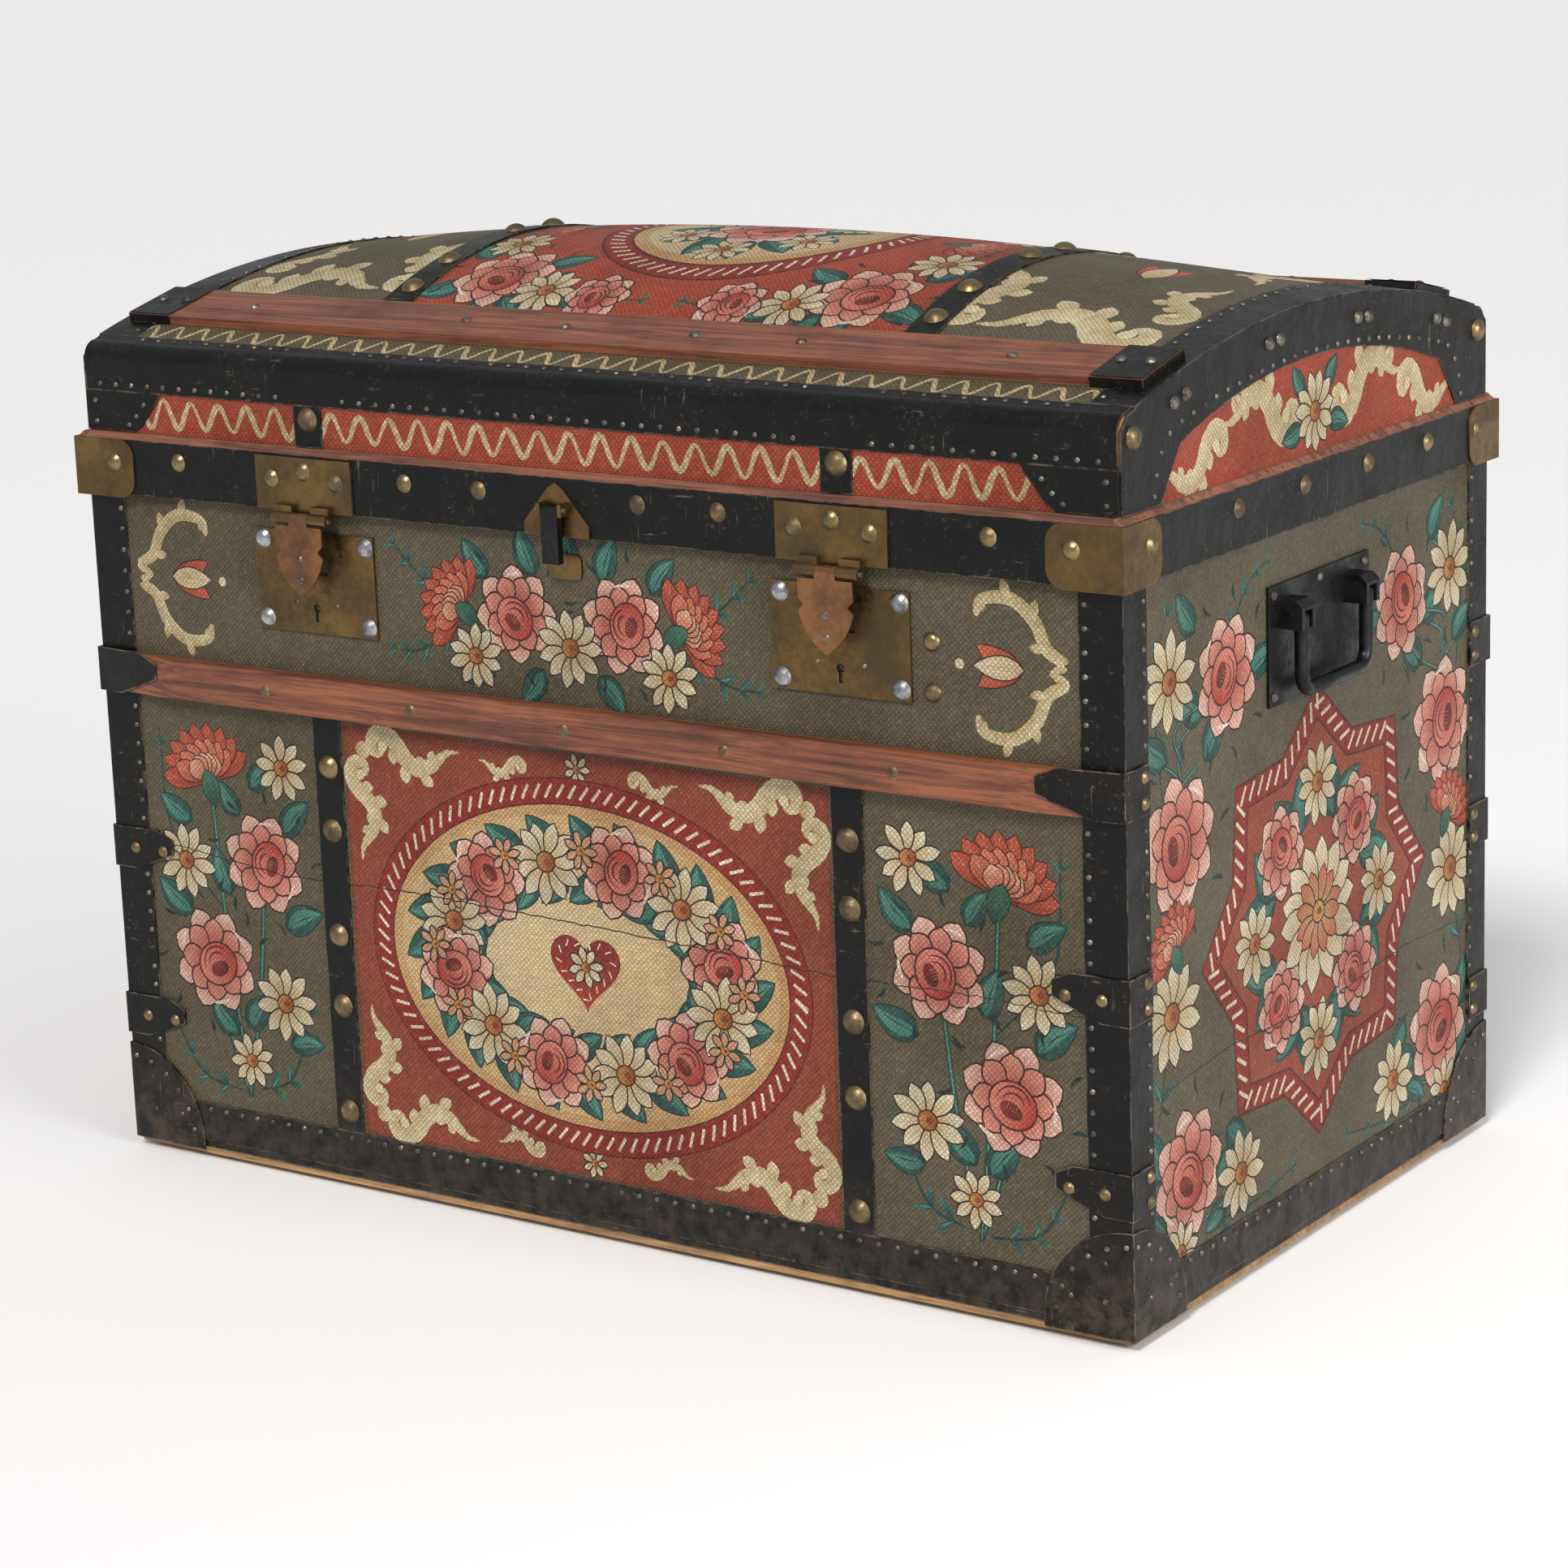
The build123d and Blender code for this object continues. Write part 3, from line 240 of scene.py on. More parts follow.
# %% Black lacquer on sheet steel, rubbed brown and grey at its edges
def lacquer_shader(tree, shader, base="#060708", dust="#4a4037", bare="#80725f", rough=0.38, wear=1.0):
    here = place(tree)
    cloud = noise(tree, here, 60, 6, 0.65)
    speck = noise(tree, here, 3.5, 6, 0.78)
    rub = sums(
        tree, "MULTIPLY", edges(tree, 1.6), between(tree, noise(tree, here, 14, 6, 0.7), 0.42, 0.60), True
    )
    chips = sums(tree, "MULTIPLY", between(tree, speck, 0.585, 0.64), between(tree, cloud, 0.42, 0.58))
    grime = between(tree, cloud, 0.38, 0.72, 0.05, 0.42)
    height_now = add(tree, "SeparateXYZ", {0: add(tree, "TexCoord").outputs["Object"]}).outputs[2]
    low_dust = between(tree, height_now, 0.0, 0.10, 0.55, 0.0)
    tone = mix(tree, grime, colour(base), colour("#191613"))
    tone = mix(
        tree, sums(tree, "MULTIPLY", low_dust, between(tree, noise(tree, here, 16, 7, 0.72), 0.36, 0.64)),
        tone, colour(dust)
    )
    for slant, share in (((0.09, 1.0, 0.5), 0.30), ((1.0, 0.5, 0.07), 0.24)):
        line = noise(tree, place(tree, slant, (0.0, 0.5, 0.0)), 2.0, 3, 0.6)
        scratch = sums(tree, "MULTIPLY", between(tree, line, 0.66, 0.70), between(tree, cloud, 0.45, 0.6))
        tone = mix(tree, sums(tree, "MULTIPLY", scratch, share * wear), tone, colour("#8d8474"))
    tone = mix(tree, sums(tree, "MULTIPLY", chips, 0.8 * wear), tone, colour(dust))
    tone = mix(tree, sums(tree, "MULTIPLY", rub, 0.85 * wear), tone, colour(bare))
    gloss = between(tree, sums(tree, "ADD", speck, grime), 0.4, 1.1, rough - 0.06, rough + 0.22)
    normal = bump(tree, noise(tree, here, 22, 3, 0.5), 1.3, bump(tree, speck, 0.12))
    dress(shader, tree, Base_Color=tone, Roughness=gloss, Normal=normal)
    shader.inputs["Specular IOR Level"].default_value = 0.22


black_lacquer = material("black_lacquer", lacquer_shader)
clamp_lacquer = material(
    "clamp_lacquer", lambda t, s: lacquer_shader(t, s, "#0a0a0a", "#54473b", "#94826c", 0.36, 1.3)
)


# %% [markdown]
# ## Wood
# The slats are varnished red-brown battens with the grain along them. The boards can't be seen, and are
# taken to be bare pine. An image of wood could be used, but a noise stretched along the batten gives
# grain that never repeats.

# %% Wood
def wood_shader(tree, shader, light="#8c5034", dark="#50291b", scale=1.0, rough=0.45):
    stretched = place(tree, (0.05 * scale, 1.0, 1.0))
    figure = noise(tree, stretched, 7, 8, 0.65, 1.2)
    pores = noise(tree, place(tree, (0.03, 1.0, 1.0)), 1.1, 3, 0.7)
    patch = noise(tree, place(tree), 45, 5, 0.6)
    tone = mix(tree, between(tree, figure, 0.35, 0.68), colour(light), colour(dark))
    tone = mix(tree, between(tree, pores, 0.52, 0.66, 0.0, 0.5), tone, colour("#23120c"))
    tone = mix(tree, between(tree, patch, 0.45, 0.72, 0.0, 0.40), tone, colour("#3a2118"))
    rub = sums(tree, "MULTIPLY", edges(tree, 2.2), between(tree, figure, 0.38, 0.60))
    tone = mix(tree, sums(tree, "MULTIPLY", rub, 0.55), tone, colour("#b98a66"))
    normal = bump(tree, figure, 0.3, bump(tree, pores, 0.12))
    dress(
        shader, tree, Base_Color=tone, Roughness=between(tree, patch, 0.3, 0.8, rough, rough + 0.2),
        Normal=normal
    )


slat_wood = material("slat_wood", wood_shader)
rim_wood = material("rim_wood", lambda t, s: wood_shader(t, s, "#8d5a46", "#50342a", 1.0, 0.6))
pine = material("bare_pine", lambda t, s: wood_shader(t, s, "#b08a5c", "#7d5c39", 1.0, 0.6))


# %% [markdown]
# ## Brass, steel and iron
# Old brass turns brown where nobody touches it and stays bright where they do. One shader mixes a bright
# and a dull tone by a cloud of tarnish, and each metal of the chest is that shader with its own colours.

# %% Brass, steel and iron
def metal_shader(tree, shader, bright="#93805c", dull="#4d4233", rough=0.30, size=6.0):
    here = place(tree)
    cloud = noise(tree, here, size * 3, 5, 0.65)
    speck = noise(tree, here, size * 0.35, 5, 0.75)
    tarnish = between(
        tree, sums(tree, "ADD", sums(tree, "MULTIPLY", cloud, 0.7), sums(tree, "MULTIPLY", speck, 0.3)),
        0.38, 0.62
    )
    tone = mix(tree, tarnish, colour(bright), colour(dull))
    rub = edges(tree, 0.8)
    tone = mix(tree, sums(tree, "MULTIPLY", rub, 0.5), tone, colour(bright))
    metal = between(tree, tarnish, 0.2, 1.0, 1.0, 0.72)
    gloss = between(tree, tarnish, 0.0, 1.0, rough, rough + 0.24)
    normal = bump(tree, cloud, 0.5, bump(tree, speck, 0.08))
    dress(shader, tree, Base_Color=tone, Metallic=metal, Roughness=gloss, Normal=normal)


old_brass = material("old_brass", metal_shader)
plate_brass = material("plate_brass", lambda t, s: metal_shader(t, s, "#7b623f", "#503f28", 0.34, 14.0))
copper_brass = material("copper_brass", lambda t, s: metal_shader(t, s, "#946a4a", "#5f4230", 0.32, 10.0))
dull_steel = material("dull_steel", lambda t, s: metal_shader(t, s, "#b9bbbd", "#55585b", 0.26, 5.0))
tack_iron = material("tack_iron", lambda t, s: metal_shader(t, s, "#8b8378", "#2f2b26", 0.34, 2.0))
dark_iron = material("dark_iron", lambda t, s: metal_shader(t, s, "#3a3a3d", "#141415", 0.34, 8.0))


# %% [markdown]
# ## Fibre pads and lining paper
# The chest stands on two coarse fibre pads, and faded striped paper lines its inside. Both are dull, so
# colour and a little bump are enough.

# %% Fibre pads and lining paper
def fibre_shader(tree, shader):
    strands = noise(tree, place(tree, (1, 0.12, 1)), 2.2, 4, 0.7, 2.0)
    tone = mix(tree, between(tree, strands, 0.35, 0.65), colour("#b08d4d"), colour("#5e4722"))
    dress(shader, tree, Base_Color=tone, Normal=bump(tree, strands, 1.5))
    shader.inputs["Roughness"].default_value = 0.9


pad_fibre = material("pad_fibre", fibre_shader)


def paper_shader(tree, shader):
    stains = noise(tree, place(tree), 120, 6, 0.65)
    fibres = noise(tree, place(tree), 2.0, 4, 0.8)
    stripes = add(tree, "TexWave", {"Vector": place(tree)}, wave_type="BANDS", bands_direction="X")
    stripes.inputs["Scale"].default_value = 12.0
    tone = mix(tree, between(tree, stains, 0.4, 0.7), colour("#cbbd9c"), colour("#9c8660"))
    tone = mix(tree, between(tree, stripes.outputs["Fac"], 0.75, 0.85, 0.0, 0.35), tone, colour("#8c5a4a"))
    dress(shader, tree, Base_Color=tone, Normal=bump(tree, fibres, 0.15))
    shader.inputs["Roughness"].default_value = 0.85


lining_paper = material("lining_paper", paper_shader)
print("materials", len(bpy.data.materials))

# %% [markdown]
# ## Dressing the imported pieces
# The metalwork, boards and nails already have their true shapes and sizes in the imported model. They could
# be modelled again here, but then the two could drift apart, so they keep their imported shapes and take
# new finishes.

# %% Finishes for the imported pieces
FINISHES = {
    "base_pads": pad_fibre, "bottom_board": pine, "front_board": pine, "back_board": pine,
    "left_end_board": pine, "right_end_board": pine, "lid_front_board": pine, "lid_back_board": pine,
    "lid_left_board": pine, "lid_right_board": pine, "lid_dome_boards": pine, "body_lining": lining_paper,
    "base_edge_strips": black_lacquer, "corner_bindings": black_lacquer, "bottom_bindings": black_lacquer,
    "body_straps": black_lacquer, "lid_band": black_lacquer, "lid_edge_bindings": black_lacquer,
    "lid_arch_bindings": black_lacquer, "lid_straps": black_lacquer, "bottom_corner_caps": clamp_lacquer,
    "slat_clamps": clamp_lacquer, "corner_clamps": clamp_lacquer, "hinge_lid_leaves": clamp_lacquer,
    "hinge_body_leaves": clamp_lacquer, "front_slat": slat_wood, "back_slat": slat_wood,
    "lid_slats": slat_wood, "lid_rim_rails": rim_wood, "strap_nails": old_brass, "slat_nails": old_brass,
    "clamp_nails": old_brass, "band_nails": old_brass, "lid_strap_nails": old_brass, "hasp_nails": old_brass,
    "lock_plates": plate_brass, "hasp_plates": plate_brass, "lid_corner_plates": plate_brass,
    "catch_plate": plate_brass, "catch_keeper": plate_brass, "left_hasp_tongue": copper_brass,
    "right_hasp_tongue": copper_brass, "lock_nails": dull_steel, "lock_cases": dull_steel,
    "left_lock_bolt": dull_steel, "right_lock_bolt": dull_steel, "hasp_pins": dull_steel,
    "catch_pin": dull_steel, "hinge_pins": dull_steel, "left_handle_plate": dark_iron,
    "right_handle_plate": dark_iron, "left_handle_bail": dark_iron, "right_handle_bail": dark_iron,
    "catch_hook": dark_iron,
}
for name, finish in FINISHES.items():
    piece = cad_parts[name]
    for index in range(len(piece.material_slots)):
        piece.material_slots[index].material = finish
print("dressed", len(FINISHES))

# %% [markdown]
# ## Drawing with a brush
# A picture is a list of brush strokes in millimetres, as complex numbers: the real part runs along the
# field and the imaginary part up it. Each stroke has a closed outline and shades from one colour to
# another.


# %% Brush strokes
def turning(outline):
    """Twice the area inside the outline, negative when it runs clockwise."""
    return sum((a.conjugate() * b).imag for a, b in zip(outline, outline[1:] + outline[:1]))


def holds(outline, p):
    """Whether the outline goes round the point."""
    winds = 0
    for a, b in zip(outline, outline[1:] + outline[:1]):
        if (a.imag <= p.imag) != (b.imag <= p.imag):
            side = ((b - a).conjugate() * (p - a)).imag
            if b.imag > a.imag and side > 0:
                winds += 1
            if b.imag < a.imag and side < 0:
                winds -= 1
    return winds != 0


class Picture:
    def __init__(self, seed):
        self.strokes = []
        self.dice = random.Random(seed)

    def fill(self, outline, start, end=None, light=0.07):
        """Adds a closed outline that shades from start to end along its own length."""
        shift = 1 + self.dice.uniform(-light, light)
        if turning(outline) < 0:
            outline = [outline[0]] + outline[:0:-1]
        first = [c * shift for c in colour(start)[:3]]
        last = [c * shift for c in colour(end or start)[:3]]
        self.strokes.append((outline, first, last))


def at_place(outline, where, turn=0.0, size=1.0):
    return [where + size * cmath.exp(1j * turn) * p for p in outline]


def grown(outline, amount):
    """The outline pushed outwards by an amount."""
    count = len(outline)
    side = -1j if turning(outline) > 0 else 1j
    result = []
    for i in range(count):
        along = outline[(i + 1) % count] - outline[i - 1]
        if abs(along) < 1e-6:
            along = 1
        result.append(outline[i] + amount * side * along / abs(along))
    return result


def oval(wide, high, count=18):
    return [
        complex(
            wide * math.cos(2 * math.pi * i / count), high * math.sin(2 * math.pi * i / count)
        ) for i in range(count)
    ]


def petal(length, width, fullness=0.75, bend=0.0, count=7):
    """A rounded blade from the origin along the real axis."""
    top = []
    low = []
    for i in range(1, count):
        t = i / count
        half = width / 2 * math.sin(math.pi * t ** fullness) ** 0.8
        spine = complex(length * t, bend * length * t * (1 - t))
        top.append(spine + 1j * half)
        low.append(spine - 1j * half)
    return [0j] + low + [complex(length, 0)] + top[::-1]


def smooth(points, steps=6):
    """A soft line through the points."""
    ends = [2 * points[0] - points[1]] + list(points) + [2 * points[-1] - points[-2]]
    line = []
    for i in range(1, len(ends) - 2):
        a, b, c, d = ends[i - 1:i + 3]
        for k in range(steps):
            t = k / steps
            line.append(
                0.5 * (
                    2 * b + (c - a) * t + (
                        2 * a - 5 * b + 4 * c - d
                    ) * t * t + (3 * b - a - 3 * c + d) * t ** 3
                )
            )
    return line + [points[-1]]


def ribbon(line, width, taper=0.9):
    """A stroke along a line, widest a third of the way and thin at its ends."""
    left = []
    right = []
    count = len(line)
    for i in range(count):
        ahead = line[min(i + 1, count - 1)] - line[max(i - 1, 0)]
        t = i / (count - 1)
        half = width / 2 * (1 - taper + taper * math.sin(math.pi * t ** 0.7) ** 0.6)
        normal = 1j * ahead / max(abs(ahead), 1e-9)
        left.append(line[i] + normal * half)
        right.append(line[i] - normal * half)
    return right + left[::-1]


def coil(centre, start, end, first, last, count=22):
    """A spiral line between two radii and two angles."""
    return [
        centre + (start + (end - start) * i / count) * cmath.exp(1j * (first + (last - first) * i / count))
        for i in range(count + 1)
    ]


print("brush ready")


# %% [markdown]
# ## Flowers and leaves
# The painter of such a chest builds a flower from single strokes of a loaded brush. The functions do the
# same: each stroke is an outline with a colour at its start and one at its end, with a dark stroke under
# it.

# %% Flowers and leaves
def leaf(pic, where, turn, length, bend=0.15, width=0.56):
    body = petal(length, length * width, 0.72, bend)
    pic.fill(at_place(grown(body, 0.9), where, turn), "#14302d")
    pic.fill(at_place(body, where, turn), "#173f3b", "#2a6a60")
    half = petal(length * 0.9, length * width * 0.5, 0.7, bend + 0.22)
    pic.fill(at_place(half, where + cmath.exp(1j * turn) * length * 0.05, turn), "#2f7468", "#5d9c8a")
    vein = ribbon([0.1 * length, complex(0.5 * length, bend * 0.25 * length), 0.92 * length], 0.9)
    pic.fill(at_place(vein, where, turn), "#102724")


def stem(pic, points, width=2.6):
    line = smooth(points)
    pic.fill(ribbon(line, width + 1.2, 0.3), "#14302d")
    pic.fill(ribbon(line, width, 0.4), "#1d5049", "#2b6f64")
    pic.fill(ribbon([p + 0.35j for p in line], width * 0.3, 0.6), "#6aa391")


def daisy(pic, where, size, petals=10, turn=0.0, pale="#e9dfc0", heart="#9c4a24"):
    for k in range(petals):
        angle = turn + 2 * math.pi * k / petals + pic.dice.uniform(-0.08, 0.08)
        blade = petal(size * pic.dice.uniform(0.92, 1.05), size * 0.44, 1.25)
        start = where + cmath.exp(1j * angle) * size * 0.16
        pic.fill(at_place(grown(blade, 1.1), start, angle), "#2b1f18")
        pic.fill(at_place(blade, start, angle), "#c9ab78", pale)
        stroke = ribbon([0.25 * size, 0.62 * size], 0.8)
        pic.fill(at_place(stroke, start, angle), "#9c7a4c")
    pic.fill(at_place(oval(size * 0.33, size * 0.31), where), "#4a2a18")
    pic.fill(at_place(oval(size * 0.28, size * 0.26), where), heart, "#d08a48")
    pic.fill(at_place(oval(size * 0.12, size * 0.10), where + 0.06 * size), "#8a4a1e")


# %% Roses
def rose(pic, where, size, turn=0.0):
    """Outer petals, a deep cup with a rolled lip, and a dark throat with stamens."""
    count = 8
    for ring, reach, wide, start, end in (
        (0, 0.62, 0.52, "#c4655a", "#f3cbb6"), (0.39, 0.40, 0.46, "#ac4038", "#e79a86")
    ):
        for k in range(count):
            angle = turn + ring + 2 * math.pi * k / count + pic.dice.uniform(-0.06, 0.06)
            blade = petal(size * 0.62, size * wide, 1.35)
            base = where + cmath.exp(1j * angle) * size * (reach - 0.22)
            pic.fill(at_place(grown(blade, 1.3), base, angle), "#3a1512")
            pic.fill(at_place(blade, base, angle), start, end)
    cup = where + cmath.exp(1j * (turn - 1.2)) * size * 0.10
    pic.fill(at_place(oval(size * 0.50, size * 0.44), cup, turn), "#4f1b18")
    pic.fill(at_place(oval(size * 0.46, size * 0.40), cup, turn), "#b8382f", "#e48a78")
    for lift in (0.34, 0.22):
        arc = coil(cup, size * lift, size * lift, turn + 0.5, turn + 3.2, 12)
        pic.fill(ribbon(arc, 1.5), "#6b1f1c")
    hollow = cup - cmath.exp(1j * (turn + 1.57)) * size * 0.10
    pic.fill(at_place(oval(size * 0.23, size * 0.15), hollow, turn), "#5c1614", "#8e2a24")
    for k in range(4):
        seed = hollow + cmath.exp(1j * turn) * size * (0.06 * k - 0.09)
        pic.fill(ribbon([seed, seed + cmath.exp(1j * (turn + 1.57)) * size * 0.2], 1.3), "#f0cf8a")
    for k in range(3):
        arc = coil(where, size * 0.86, size * 0.80, turn + 2.1 * k, turn + 2.1 * k + 0.5, 8)
        pic.fill(ribbon(arc, size * 0.07), "#f6dccb")


# %% Carnations and tulips
def carnation(pic, where, turn, size):
    """A fan of notched petals on a green calyx."""
    for row, (reach, spread, start, end) in enumerate(
        (
            (1.0, 1.25, "#8e2f22", "#c8543a"), (0.74, 0.95, "#a83a2a", "#dd7a5c"),
            (0.5, 0.6, "#b8442f", "#efb08e")
        )
    ):
        count = 9 - 2 * row
        for k in range(count):
            angle = turn + spread * (2 * k / (count - 1) - 1)
            blade = petal(size * reach, size * 0.34, 1.7)
            pic.fill(at_place(grown(blade, 0.9), where, angle), "#401410")
            pic.fill(at_place(blade, where, angle), start, end)
            tip = where + cmath.exp(1j * angle) * size * reach * 0.70
            for fork in (-0.22, 0.22):
                notch = ribbon([tip, tip + cmath.exp(1j * (angle + fork)) * size * 0.24], 1.4)
                pic.fill(notch, "#f1cfae")
    back = cmath.exp(1j * (turn + math.pi))
    calyx = petal(size * 0.62, size * 0.36, 0.9)
    pic.fill(at_place(grown(calyx, 0.9), where - back * size * 0.22, turn + math.pi), "#14302d")
    pic.fill(at_place(calyx, where - back * size * 0.22, turn + math.pi), "#3f7a5c", "#1d5049")


def tulip(pic, where, turn, size):
    for lean, start, end in (
        (0.5, "#9c3324", "#d2694a"), (-0.5, "#9c3324", "#d2694a"), (0.0, "#d9b98a", "#f0e2bf")
    ):
        blade = petal(size, size * 0.42, 0.85, -0.5 * lean)
        pic.fill(at_place(grown(blade, 0.9), where, turn + lean * 0.75), "#3f1712")
        pic.fill(at_place(blade, where, turn + lean * 0.75), start, end)
    pic.fill(at_place(ribbon([0.3 * size, 0.8 * size], 1.4), where, turn), "#a8482f")


# %% [markdown]
# ## Scrolls, sprays and borders
# Cream scrolls, feathery twigs and dashed edges are common ornament on painted chests. A scroll could be
# one closed outline, but short overlapping pieces along a curve keep a brush's swelling width without
# crossing itself.

# %% Scrolls
def scroll(pic, where, turn, size, flip=1, shade="#b79a68", light="#e9dcb6"):
    """A bold C scroll laid in cream, with leafy lobes on its outer side and a round curl."""
    def go(points):
        return [where + size * cmath.exp(1j * turn) * (p if flip > 0 else p.conjugate()) for p in points]
    spine = coil(0j, 0.16, 0.72, -3.9, 0.9, 26)
    for i in range(0, len(spine) - 3, 3):
        t = i / len(spine)
        width = 0.14 + 0.20 * math.sin(math.pi * t) ** 0.7
        pic.fill(go(ribbon(spine[i:i + 5], width, 0.15)), shade, light)
    for k in range(5):
        base = spine[10 + 3 * k]
        outward = cmath.phase(base) - 0.75 + 0.1 * k
        lobe = petal(0.44 - 0.035 * k, 0.24, 1.25, 0.25)
        pic.fill(go(at_place(lobe, base * 0.96, outward)), light, shade)
    pic.fill(go(at_place(oval(0.17, 0.16, 12), spine[0])), light, shade)


def acanthus(pic, where, turn, size, flip=1, light="#eadcb4", shade="#c9ae7a"):
    """A bold leafy S scroll: a round curl, a fat body with scalloped lobes, and a thin tail."""
    def go(points):
        return [where + size * cmath.exp(1j * turn) * (p if flip > 0 else p.conjugate()) for p in points]
    spine = smooth(
        [
            0.06 - 0.02j, 0.0 + 0.07j, -0.11 + 0.03j, -0.10 - 0.12j, 0.06 - 0.20j, 0.26 - 0.10j,
            0.42 + 0.10j, 0.62 + 0.21j, 0.86 + 0.13j, 1.08 - 0.04j, 1.28 - 0.07j
        ],
        4
    )
    count = len(spine)
    for share, lean, reach in (
        (0.50, 0.95, 0.30), (0.60, 0.8, 0.32), (0.70, 0.65, 0.30), (0.66, -0.9, 0.24), (0.78, -0.8, 0.22)
    ):
        i = int(share * (count - 1))
        way = cmath.phase(spine[i + 1] - spine[i - 1])
        pic.fill(
            go(
                at_place(petal(reach, reach * 0.56, 1.5, 0.18 if lean > 0 else -0.18), spine[i], way + lean)
            ),
            shade, light
        )
    for i in range(0, count - 2, 2):
        t = i / (count - 1)
        wide = 0.09 + 0.15 * math.sin(math.pi * min(t * 1.02, 1)) ** 1.3
        if t > 0.75:
            wide *= (1 - t) / 0.25
        pic.fill(go(ribbon(spine[i:i + 4], wide + 0.012, 0.12)), light, shade)
    pic.fill(go(at_place(oval(0.075, 0.07, 12), spine[0])), light)


def flourish(pic, points, width, where=0j, sx=1, sz=1, lobes=()):
    """A long brushed curve that swells and thins, with lobes at some of its points."""
    line = [where + complex(sx * p.real, sz * p.imag) for p in smooth(points, 8)]
    count = len(line)
    for i in range(0, count - 2, 2):
        t = i / (count - 1)
        wide = width * (0.35 + 0.65 * math.sin(math.pi * min(t * 1.05, 1)) ** 0.6)
        pic.fill(ribbon(line[i:i + 4], wide, 0.12), "#c4a873", "#eadcb4")
    for share, turn, length in lobes:
        i = min(int(share * (count - 1)), count - 2)
        way = line[i + 1] - line[i]
        angle = cmath.phase(way) + turn * sx * sz
        pic.fill(
            at_place(petal(length, length * 0.5, 1.2, 0.2 * sx * sz), line[i], angle), "#eadcb4", "#c4a873"
        )


# %% Sprays, loose strokes and borders
def spray(pic, points, length=15, step=3):
    """A feathery twig of narrow leaflets on both sides of its stem."""
    line = smooth(points, 6)
    pic.fill(ribbon(line, 2.2, 0.5), "#16403c", "#1d5049")
    for i in range(2, len(line) - 1, step):
        way = cmath.phase(line[i + 1] - line[i - 1])
        size = length * (1.05 - 0.55 * i / len(line))
        for side in (-1, 1):
            blade = petal(size, size * 0.30, 0.9)
            pic.fill(at_place(blade, line[i], way + side * 0.75), "#14393a", "#2f7a6e")
        pic.fill(at_place(petal(size * 0.8, size * 0.10, 1.0), line[i], way + 0.7), "#5fa593", "#2f7a6e")


def commas(pic, where, size, count, turn=0.0, paint="#123230"):
    """Loose dark commas round a flower."""
    for k in range(count):
        angle = turn + 2 * math.pi * k / count
        start = where + cmath.exp(1j * angle) * size
        pic.fill(at_place(petal(size * 0.32, size * 0.07, 1.3, 0.5), start, angle + 0.5), paint)


def dashes(pic, line, step, length, width, paint="#ead9b0"):
    """Short strokes laid across a closed line, one every step."""
    run = 0.0
    for i in range(len(line)):
        a = line[i]
        b = line[(i + 1) % len(line)]
        gap = abs(b - a)
        along = (b - a) / max(gap, 1e-9)
        while run < gap:
            here = a + along * run
            lean = along * cmath.exp(0.95j)
            stroke = ribbon([here - lean * length / 2, here + lean * length / 2], width, 0.5)
            pic.fill(stroke, paint, "#f5ead0")
            run += step
        run -= gap


def box(x0, x1, y0, y1):
    return [complex(x0, y0), complex(x1, y0), complex(x1, y1), complex(x0, y1)]


print("flowers ready")

# %% [markdown]
# ## From strokes to a surface
# The field is cut along every outline, and each piece takes the colour of the last stroke laid over it.
# The cut pieces are then bent to the place where the canvas lies.


